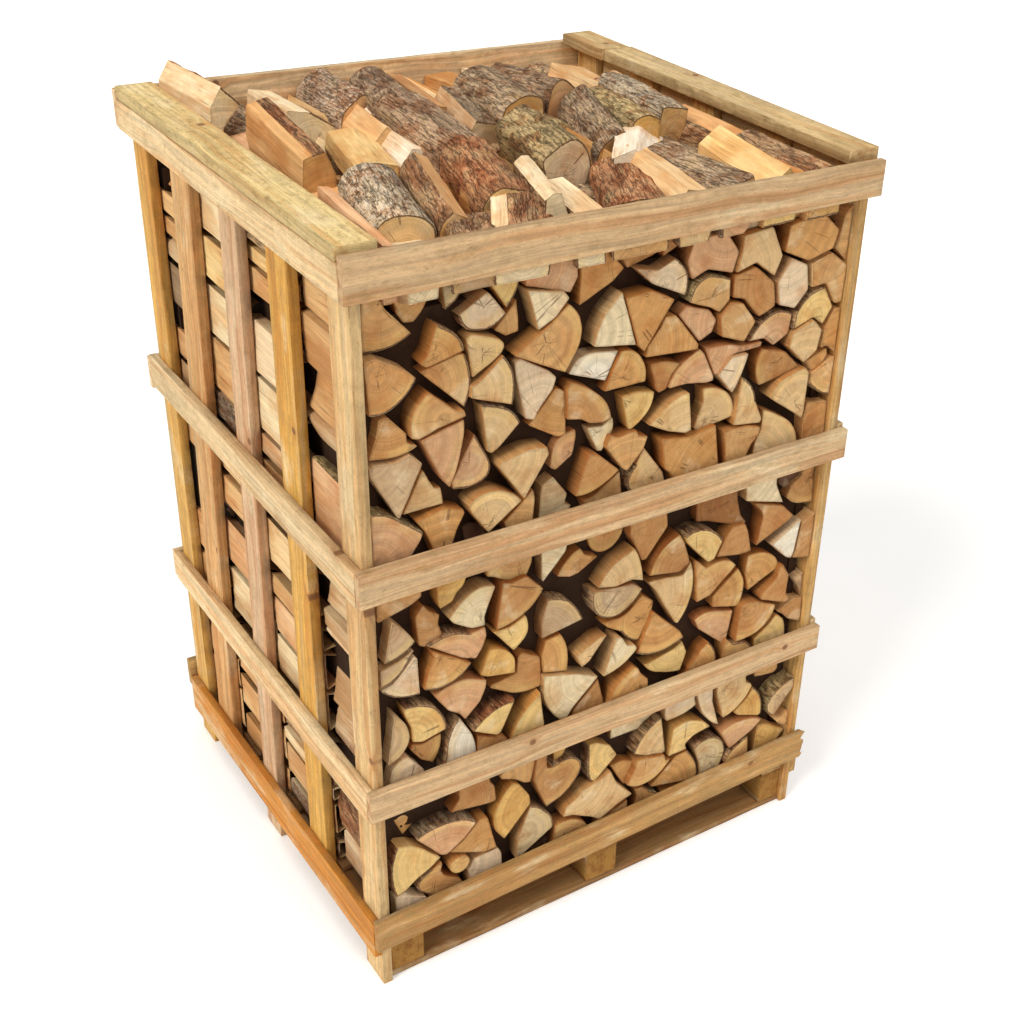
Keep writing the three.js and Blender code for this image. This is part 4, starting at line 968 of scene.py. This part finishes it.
# Bigger logs lying askew on the top: row, front end, length, shift of the rear end sideways and up,
# tone, bark, edges with bark from the first corner on, then the corners "x,z" of the front end
TOPS = """
1 -490 254 8 18 e R 0000 -488,1636 -464,1632 -460,1530 -488,1530
1 -505 180 0 -45 a B 0000 -458,1630 -384,1627 -395,1530 -452,1530
1 -430 254 60 5 n W 1111101 -478,1625 -455,1652 -422,1657 -378,1648 -352,1622 -365,1530 -465,1530
1 -430 254 60 22 o B 110001 -357,1590 -352,1627 -324,1645 -292,1629 -285,1530 -345,1530
1 -505 105 50 -14 j B 11101 -379,1634 -351,1640 -276,1635 -280,1530 -370,1530
1 -505 205 116 0 a R 011101 -296,1634 -262,1636 -227,1634 -165,1630 -180,1530 -290,1530
1 -480 254 92 -22 a B 000001 -178,1656 -160,1668 -142,1666 -122,1610 -135,1530 -180,1540
1 -505 180 30 0 a B 0101 -130,1632 -70,1632 -60,1530 -125,1530
1 -505 254 120 -12 d R 11101 -56,1630 0,1640 69,1630 75,1530 -50,1530
1 -505 254 40 5 n B 000101 85,1600 110,1640 160,1628 178,1560 165,1530 95,1530
1 -505 254 -20 0 e D 110001 188,1560 200,1625 262,1642 288,1570 250,1530 195,1530
1 -500 246 25 10 b B 00001 295,1530 300,1610 350,1645 388,1600 380,1530
1 -505 254 0 0 h B 01101 398,1530 405,1620 455,1638 490,1600 485,1530
2 -370 254 55 15 n R 111001 -236,1596 -233,1626 -198,1652 -140,1636 -145,1530 -228,1530
2 -130 254 4 30 h R 0100000 -457,1664 -436,1671 -412,1675 -390,1627 -400,1530 -450,1530 -462,1610
2 -110 254 65 -12 b B 000001 -357,1600 -350,1631 -297,1632 -256,1620 -262,1530 -345,1530
2 -250 254 48 -8 f G 1111001 -41,1639 12,1668 41,1674 68,1643 75,1610 45,1530 -10,1530
2 -300 200 148 -20 l B 00001 84,1640 140,1650 206,1606 200,1530 95,1530
2 -150 254 72 20 o D 111001 150,1590 165,1612 220,1640 240,1600 235,1530 160,1530
2 -130 254 50 -12 c G 111001 245,1600 250,1646 290,1655 325,1638 322,1530 255,1530
2 -100 254 20 5 d W 110001 335,1610 345,1655 418,1640 410,1600 396,1530 350,1530
2 -254 250 0 0 h B 0001 -485,1530 -480,1598 -390,1606 -372,1530
2 -254 250 10 0 o B 00101 400,1530 405,1600 470,1618 492,1590 485,1530
3 -50 254 30 8 l B 00010 -230,1592 -200,1628 -151,1616 -148,1530 -225,1530
3 -114 248 -4 24 o P 111001 -181,1606 -178,1638 -143,1664 -85,1650 -90,1545 -173,1545
3 40 254 60 0 j D 01001 -30,1600 -10,1632 40,1620 52,1530 -20,1530
3 100 254 30 -4 o D 111101 80,1600 90,1632 140,1652 190,1642 197,1530 92,1530
3 0 250 0 0 e B 0001 -488,1530 -482,1596 -400,1606 -370,1530
3 60 190 20 0 n B 000000 -240,1560 -232,1604 -196,1640 -158,1612 -160,1530 -225,1530
3 5 245 0 10 d B 01001 402,1530 410,1606 466,1620 490,1590 485,1530
4 235 254 -8 -8 a R 100000 -456,1703 -416,1662 -455,1620 -470,1530 -486,1530 -482,1664
4 200 254 24 -25 a B 001001 -350,1590 -340,1652 -290,1642 -238,1608 -240,1530 -340,1530
4 220 254 15 -10 e M 111101 -222,1590 -215,1625 -161,1663 -132,1640 -140,1530 -215,1530
4 134 254 60 -20 e P 111101 -184,1640 -180,1668 -140,1685 -96,1676 -95,1530 -175,1530
4 150 254 30 0 g B 00001 -60,1600 -50,1640 -12,1632 -8,1530 -50,1530
4 120 254 -5 -25 e P 111001 205,1590 215,1650 245,1673 285,1640 292,1530 215,1530
4 120 254 25 -5 n B 000001 342,1600 352,1632 440,1612 468,1590 468,1530 350,1530
4 300 200 0 0 n B 0001 -30,1530 -20,1590 60,1605 90,1530
"""
# Logs along the left and right edges of the rows behind the first: lower and upper edge of the outer face
EDGES = [
    [(138, 210), (240, 330), (345, 470), (512, 630), (648, 765), (805, 880), (895, 1008), (1020, 1085),
     (1092, 1213), (1218, 1330), (1345, 1436), (1444, 1530)],
    [(150, 200), (205, 318), (345, 500), (506, 600), (604, 728), (732, 842), (860, 1000), (1010, 1120),
     (1125, 1180), (1186, 1272), (1276, 1312), (1330, 1395), (1402, 1490), (1500, 1570)],
    [(140, 190), (215, 300), (310, 345), (350, 480), (500, 600), (606, 700), (706, 760), (790, 900),
     (910, 1040), (1052, 1100), (1105, 1225), (1230, 1345), (1395, 1450), (1455, 1490), (1500, 1560)],
]
VIEW = np.array([-1490.0, 2510.0])  # the camera's x and z, from which the ends were read
VIEW_FRONT = STACK_FRONT + 2540.0  # its distance to the front of the stack
TURN_Z = STACK_LOW + STACK_TOP
EDGE_REACH = 500
HIGH_REACH = 1500
EDGE_DEEP = 95
CORE_SIDE = 30
CORE_TOP = 1500
CORE_START, CORE_STOP = 45, 35  # core behind the front ends and before the rear ends
BARKED_SHARE = 0.45
# Where the outlines lie along a log of which only the end is seen, close together near that end
FRONT_DEPTHS = [0, 2, 12, 45, 100]
REAR_DEPTHS = [0, 40, 75, 90, 98, 100]
FILL_LOW = 1515
FILL_FROM, FILL_TO, FILL_REACH = -478.0, 440, 500


def read_corners(corners):
    return np.array([[float(v) for v in corner.split(",")] for corner in corners])


def read_end(line):
    letter, setback, *corners = line.split()
    return letter, float(setback), read_corners(corners)


def set_back_outline(outline, setback):
    """The outline as large as it has to be further back to look the same from the camera."""
    return VIEW + (1 + setback / VIEW_FRONT) * (outline - VIEW)


def unevenness(i):
    return 1 + 7 * ((i * 0.618034) % 1)


def turned(outline):
    """Half a turn in the face of the stack, for the rear ends."""
    return np.column_stack([-outline[:, 0], TURN_Z - outline[:, 1]])


def held(outline):
    """Kept within the crate."""
    across = np.clip(outline[:, 0], 0.5 - STACK_X, STACK_X - 0.5)
    return np.column_stack([across, np.clip(outline[:, 1], STACK_LOW + 0.8, STACK_TOP)])


def on_edge(outline):
    return np.abs(outline[:, 0]).max() > EDGE_REACH


def full_depths(deep, spacing):
    return np.linspace(0, deep, int(deep / spacing) + 1)


def add_face_log(builder, shape, y0, y1, letter, depths, face, **finish):
    """A log with one sawn end in the front or the rear face of the stack."""
    at_side = on_edge(shape)
    add_log(builder, shape, y0, y1, letter, RNG.choice("BBDRG"), depths, rimmed=RNG.random() < BARKED_SHARE,
            caps=face, tilt_size=0.03, pale=0.2 if at_side else 0.0, shade=WHITE if at_side else PAINTED_GAP_SHADE,
            shaded=None if at_side else face, **finish)


def add_front_logs(builder, y0, y1):
    for i, (letter, setback, outline) in enumerate(ends):
        back = setback + unevenness(i)
        shape = held(set_back_outline(outline, back))
        seen_side = on_edge(shape) or outline[:, 1].max() > HIGH_REACH
        start = y0 + back
        depths = full_depths(y1 - y0 - back, 24) if seen_side else FRONT_DEPTHS
        stop = y1 if seen_side else start + FRONT_DEPTHS[-1]
        relief = 0.8 if seen_side else 0.5
        add_face_log(builder, shape, start, stop, letter, depths, "front", relief=relief, step=7.0)


def add_rear_logs(builder, y0, y1):
    for i, (letter, _, outline) in enumerate(ends):
        shape = held(turned(outline))
        seen_side = on_edge(shape) or shape[:, 1].max() > HIGH_REACH
        stop = y1 - 2 * unevenness(i)
        start = y0 if seen_side else stop - REAR_DEPTHS[-1]
        depths = full_depths(stop - start, 24) if seen_side else REAR_DEPTHS
        add_face_log(builder, shape, start, stop, letter, depths, "back", relief=0.6, step=9.0,
                     cap_spacing=11)


def add_middle_logs(builder, row, y0, y1):
    """Rows two and three show only at the sides and the top."""
    deep = y1 - y0
    for side in (-1, 1):
        for k, (low, high) in enumerate(EDGES[(row + side + 1) % 3]):
            inner = STACK_X - EDGE_DEEP - RNG.uniform(0, 35)
            outer = STACK_X - 1 - RNG.uniform(0, 6)
            middle = low + (high - low) * RNG.uniform(0.15, 0.85)
            corners = [(side * outer, low + 1), (side * outer, high - 1), (side * inner, middle)]
            bark = [RNG.random() < 0.16, False, False]
            add_log(builder, corners, y0 + 1, y1 - 1, RNG.choice("adnfeodhb"), RNG.choice("BDM"),
                    full_depths(deep - 2, 14), bark=bark, caps="none", pale=0.3)
            # a second log behind, seen through the gaps
            if k % 2 == 0:
                corners = np.array([(inner + 45, low - 45), (inner + 30, low + 30), (inner - 50, low)])
                add_log(builder, held(corners * (side, 1)), y0 + 2, y1 - 2, RNG.choice("doe"), "B",
                        full_depths(deep - 4, 40), bark=[False] * 3, caps="none", step=12)
    for i, (letter, _, outline) in enumerate(ends):
        shape = outline * (1 if row == 3 else -1, 1)
        if outline[:, 1].max() > HIGH_REACH and not on_edge(outline):
            add_log(builder, held(shape - (0, 6.0 * (i % 4))), y0 + 2, y1 - 2, letter, RNG.choice("BDRG"),
                    full_depths(deep - 4, 22), rimmed=RNG.random() < 0.6, step=8.0, cap_spacing=14)


def add_cores(builder, row, y0, y1):
    front = y0 + CORE_START if row == 1 else y0
    back = y1 - CORE_STOP if row == 4 else y1
    add_core(builder, CORE_SIDE - STACK_X, STACK_X - CORE_SIDE, front, back)
    if row in (1, 4):
        near, far = (y0 + 40, y0 + 100) if row == 1 else (y1 - 100, y1 - 22)
        outer, inner = STACK_X - 9, STACK_X - CORE_SIDE - 1
        add_core(builder, -outer, -inner, near, far)
        add_core(builder, inner, outer, near, far)


def fill_shape(wide, tall):
    """Outline and bark of a filling log: round on top, lopsided or square."""
    kind = RNG.random()
    low = FILL_LOW
    if kind < 0.4:
        crown = [(wide, tall - 22), (wide * 0.66, tall), (wide * 0.3, tall - 3), (0, tall - 26)]
        return [(0, low), (wide * 0.9, low), *crown], [False, True, True, True, True, True]
    if kind < 0.75:
        crown = [(wide * RNG.uniform(0.7, 1.0), tall - 30), (wide * RNG.uniform(0.2, 0.5), tall)]
        return [(0, low), (wide, low), *crown], [False, False, RNG.random() < 0.4, False]
    crown = [(wide, tall - RNG.uniform(0, 20)), (0, tall - RNG.uniform(0, 20))]
    return [(0, low), (wide, low), *crown], [False] * 4


def add_fill_logs(builder, row, y0, y1):
    """The layer just under the bigger logs on the top."""
    across = FILL_FROM
    while across < FILL_TO:
        wide, tall = RNG.uniform(55, 95), RNG.uniform(1584, 1612)
        outline, bark = fill_shape(wide, tall)
        shape = np.array(outline, float) + (across, 0)
        slide = RNG.uniform(-14, 14)
        slide = max(-FILL_REACH - shape[:, 0].min(), min(slide, FILL_REACH - shape[:, 0].max()))
        start = y0 + RNG.uniform(2, 8) + (CORE_START if row == 1 else 0)
        add_log(builder, shape, start, y1 - RNG.uniform(2, 8), RNG.choice("anfebdoh"), RNG.choice("BBRDGP"),
                full_depths(y1 - start - 8, 18), bark=bark, dx=slide, dz=RNG.uniform(-10, 6), step=8.0,
                caps="front back", relief=1.2, bow=RNG.uniform(-2, 2), pale=0.1, cap_spacing=12)
        across += wide + RNG.uniform(2, 14)


def add_top_logs(builder, row):
    for line in TOPS.strip().splitlines():
        *numbers, letter, bark_letter, flags, corners = line.split(maxsplit=8)
        home, front, length, dx, dz = map(int, numbers)
        outline = read_corners(corners.split())
        if home == row:
            bark = [flag == "1" for flag in flags]
            add_log(builder, outline, front, min(front + length, STACK_BACK - 2), letter, bark_letter,
                    full_depths(length, 10.5), bark=bark, dx=dx, dz=dz, step=5.0, caps="front back",
                    relief=1.25, bow=RNG.uniform(-2.5, 1.5), pale=0.15, shade=TOP_PAINTED_LIGHT, cap_spacing=7)


ends = [read_end(line) for line in ENDS.strip().splitlines()]
for row in range(1, 5):
    builder = Builder(LOG_MATERIALS)
    y0, y1 = row_span(row)
    if row == 1:
        add_front_logs(builder, y0, y1)
    elif row == 4:
        add_rear_logs(builder, y0, y1)
    else:
        add_middle_logs(builder, row, y0, y1)
    add_cores(builder, row, y0, y1)
    add_fill_logs(builder, row, y0, y1)
    add_top_logs(builder, row)
    builder.build(f"logs_{row}", "split_logs", [f"log_row_{row}"])

# Boards: colours by kind or by name, and wear
# rail_back is painted lighter than the other rails: painted light on its dimly lit inner face
KIND_TONES = {
    "slat_left": "D9A55C", "slat_right": "D9AA66", "rail_left": "E6C898", "rail_right": "D9BA8A",
    "rail_front": "D3B084", "rail_back": "F2D2A4", "cap_left": "D8B97E", "cap_right": "D5B784",
    "skid": "AF8554", "block": "A87A38", "cross_board": "B69060", "deck_board": "B69060",
}
BOARD_TONES = {
    "slat_left_1": "E0AE5A", "slat_left_2": "D3A36A", "slat_left_3": "D8B28C", "slat_left_4": "DDA850",
    "slat_left_5": "DDBA84", "cap_left": "DCC288", "rail_left_4": "D08A36", "rail_front_4": "BE9258",
    "rail_right_4": "C09A60", "rail_back_4": "C09A60",
}
WEAR = {
    "cap_left": 0.9, "cap_right_front": 0.7, "cap_right_rear": 0.7, "rail_front_4": 0.7, "rail_left_4": 0.3,
}
PLAIN_WEAR = 0.35
RAGGED = {"rail_front_4": 22.0}  # how deep the right end is torn
FACE_SLOT, CUT_SLOT, NAIL_SLOT = range(3)
LIP = 1.6  # width of the worn strip along a board's edges


def board_corners(name):
    """The eight corners of a packed board, ordered [long][wide][thick], in mm."""
    node = frame["nodes"][name]
    node = node if hasattr(node, "data") else bpy.data.objects[name]
    points = np.array([node.matrix_world @ v.co for v in node.data.vertices]) / MM
    long, wide, thick = np.argsort(points.min(0) - points.max(0))
    middle = (points.max(0) + points.min(0)) / 2
    corners = np.zeros((2, 2, 2, 3))
    for i in (0, 1):
        group = points[(points[:, long] > middle[long]) == bool(i)]
        for k in (0, 1):
            layer = group[(group[:, thick] > middle[thick]) == bool(k)]
            half = (layer[:, wide].max() + layer[:, wide].min()) / 2
            for j in (0, 1):
                corners[i, j, k] = layer[(layer[:, wide] > half) == bool(j)].mean(0)
    return corners


def stops_along(length, spacing):
    inner = max(1, int(round((length - 2 * LIP) / spacing)))
    return np.concatenate([[0], np.linspace(LIP, length - LIP, inner + 1), [length]]) / length


def add_board(name, tone_code, wear, ragged):
    corners = board_corners(name)
    first = corners[0, 0, 0]
    runs = [corners[1, 0, 0] - first, corners[0, 1, 0] - first, corners[0, 0, 1] - first]
    length, width, depth = [np.linalg.norm(run) for run in runs]
    axis_a, axis_b, axis_c = runs[0] / length, runs[1] / width, runs[2] / depth
    seed = RNG.uniform(1.0, 60.0)
    whole = int(seed * 131)
    stops = [stops_along(length, 16.0), stops_along(width, 8.5), stops_along(depth, 9.0)]
    index_grids = np.meshgrid(*(np.arange(len(stop)) for stop in stops), indexing="ij")
    a, b, c = [stop[at] for stop, at in zip(stops, index_grids)]
    grid = 0.0
    for i, j, k in np.ndindex(2, 2, 2):
        share_a, share_b, share_c = [s if far else 1 - s for s, far in ((a, i), (b, j), (c, k))]
        grid = grid + corners[i, j, k] * share_a[..., None] * share_b[..., None] * share_c[..., None]
    along, over, deep = a * length, b * width, c * depth
    # for each direction 1 on the first face, -1 on the last, 0 between
    to_a, to_b, to_c = [np.where(at == 0, 1.0, np.where(at == len(stop) - 1, -1.0, 0.0))
                        for stop, at in zip(stops, index_grids)]
    # wavy sawn edges, faint unevenness of the faces, worn and chipped arrises
    edge_wave = 0.6 + 0.6 * rough_noise(along / 70.0, to_b * 7 + to_c * 3, whole, 3)
    face_wave = 0.25 + 0.25 * rough_noise(along / 60.0, over / 25.0, whole + 3, 3)
    end_wave = 0.5 + 0.9 * np.abs(rough_noise(over / 9.0, deep / 9.0, whole + 6, 3))
    shift = (to_b * edge_wave)[..., None] * axis_b + (to_c * face_wave)[..., None] * axis_c
    shift = shift + (to_a * end_wave)[..., None] * axis_a
    chip = np.clip(rough_noise(along / 22.0, over / 22.0 + to_c * 9, whole + 8, 3) - 0.25, 0, 1) * 5.0
    worn = np.where(np.abs(to_a) + np.abs(to_b) + np.abs(to_c) >= 2, 0.7 + chip, 0.0)
    inwards = to_b[..., None] * axis_b + to_c[..., None] * axis_c * 0.6 + to_a[..., None] * axis_a * 0.6
    shift = shift + worn[..., None] * inwards
    if ragged:
        bite = np.clip(rough_noise(over / 16.0, deep / 14.0, whole + 21, 3) + 0.35, 0, 1) * ragged
        near = np.clip((a - (1 - 3 * ragged / length)) / (3 * ragged / length), 0, 1)
        shift = shift - (bite * near)[..., None] * axis_a
    grid = grid + shift
    skin = (to_a != 0) | (to_b != 0) | (to_c != 0)
    index = -np.ones(skin.shape, int)
    index[skin] = np.arange(int(skin.sum()))
    builder = Builder([SAWN, SAWN_END, NAIL])
    builder.add_points(grid[skin])
    tone = np.array([*(np.array(linear(tone_code)) * (1 + RNG.uniform(-0.07, 0.07))), wear])
    grain = np.stack([along, over - width / 2, deep], 3) + (RNG.uniform(0, 900), 0, 0)
    edge = np.minimum(np.minimum(over, width - over), np.minimum(length - along, along))
    flip = np.linalg.det(np.array([axis_a, axis_b, axis_c])) < 0

    def corners_of(values):
        """The four corners' values of each quad of a face."""
        return np.stack([values[:-1, :-1], values[1:, :-1], values[1:, 1:], values[:-1, 1:]], 2)

    def patch(take, slot, turn_over):
        quads, grains, gaps = [corners_of(values[take]) for values in (index, grain, edge)]
        quads, grains, gaps = quads.reshape(-1, 4), grains.reshape(-1, 4, 3), gaps.reshape(-1, 4)
        if turn_over != flip:
            quads, grains, gaps = quads[:, ::-1], grains[:, ::-1], gaps[:, ::-1]
        builder.add_faces(quads, slot, tone, grains, seed, edge_gap=gaps)

    every = slice(None)
    patch((every, every, -1), FACE_SLOT, False)
    patch((every, every, 0), FACE_SLOT, True)
    patch((every, -1, every), FACE_SLOT, True)
    patch((every, 0, every), FACE_SLOT, False)
    patch((-1, every, every), CUT_SLOT, False)
    patch((0, every, every), CUT_SLOT, True)
    return builder


def add_nail(builder, place, normal):
    """A small domed nail head, a little sunk in the board. place: 0.55 mm inside the face it is in."""
    normal = np.array(normal, float)
    side = np.cross(normal, (0.0, 0.0, 1.0))
    other = np.cross(normal, side)
    sides = 10
    angles = np.arange(sides) * 2 * math.pi / sides
    around = np.cos(angles)[:, None] * side + np.sin(angles)[:, None] * other
    profile = ((3.0, -1.0), (3.0, -0.1), (2.2, 0.1))
    rings = [place + normal * height + radius * around for radius, height in profile]
    start = builder.add_points(np.concatenate([*rings, [place + normal * 0.15]]))
    j = np.arange(sides)
    after = (j + 1) % sides
    band = np.stack([j, after, sides + after, sides + j], 1)
    quads = np.concatenate([band, band + sides])
    tips = np.stack([2 * sides + j, 2 * sides + after, np.full(sides, 3 * sides)], 1)
    for faces in (quads, tips):
        builder.add_faces(start + faces, NAIL_SLOT, (0.1, 0.1, 0.1, 0.0), np.zeros((*faces.shape, 3)), 1.0)


# Where the side slats cross a height: y at the top end and at the foot, and the side rails' heights
SLAT_PLACES = {
    "left": [(444, 469), (223, 325), (-10, 62), (-224, -205), (-466.7, -466.7)],
    "right": [(460, 466), (236, 246), (6, -12), (-226, -240), (-467.7, -467.7)],
}
RAIL_PLACES = {"left": [1600, 1016, 503, 128], "right": [1600, 1014, 508, 127]}
SLAT_HIGH = 1625
NAIL_SUNK = 0.55


def nail_side_rail(builder, name, low, high):
    """Two nails in every slat."""
    side = name.split("_")[1]
    z = RAIL_PLACES[side][int(name[-1]) - 1]
    out, outwards = (low[0] + NAIL_SUNK, -1.0) if side == "left" else (high[0] - NAIL_SUNK, 1.0)
    for top, foot in SLAT_PLACES[side]:
        y = foot + (top - foot) * (z / SLAT_HIGH)
        for dy, dz in ((-16, 17), (14, -15)):
            spot = np.array([out, y + dy + RNG.uniform(-6, 6), z + dz + RNG.uniform(-5, 5)])
            add_nail(builder, spot, (outwards, 0, 0))


def nail_cross_rail(builder, name, low, high):
    """Two nails at each end."""
    middle = (low[2] + high[2]) / 2
    out, outwards = (low[1] + NAIL_SUNK, -1.0) if "front" in name else (high[1] - NAIL_SUNK, 1.0)
    for x in (low[0] + 26, high[0] - 26):
        for dz in (-18, 16):
            spot = np.array([x + RNG.uniform(-5, 5), out, middle + dz + RNG.uniform(-5, 5)])
            add_nail(builder, spot, (0, outwards, 0))


for item in frame["record"]["subparts"]:
    name = item["node"]
    if name.startswith("log_row"):
        continue
    kind = next(kind for kind in KIND_TONES if name.startswith(kind))
    code = BOARD_TONES.get(name, KIND_TONES[kind])
    builder = add_board(name, code, WEAR.get(name, PLAIN_WEAR), RAGGED.get(name, 0.0))
    low, high = (np.array(corner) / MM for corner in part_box(name))
    if kind in ("rail_left", "rail_right"):
        nail_side_rail(builder, name, low, high)
    if kind in ("rail_front", "rail_back"):
        nail_cross_rail(builder, name, low, high)
    builder.build(f"{name}_board", item["material_slot"], [name], sharp=50.0)

# Floor, just under the ground plane
FLOOR_REACH = 14.0
FLOOR_LOW = -0.0005
floor_mesh = bpy.data.meshes.new("floor")
floor_corners = [(x * FLOOR_REACH, y * FLOOR_REACH, 0) for x, y in ((-1, -1), (1, -1), (1, 1), (-1, 1))]
floor_mesh.from_pydata(floor_corners, [], [(0, 1, 2, 3)])
floor_mesh.materials.append(FLOOR)
floor = bpy.data.objects.new("floor", floor_mesh)
floor.location.z = FLOOR_LOW
scene.collection.objects.link(floor)
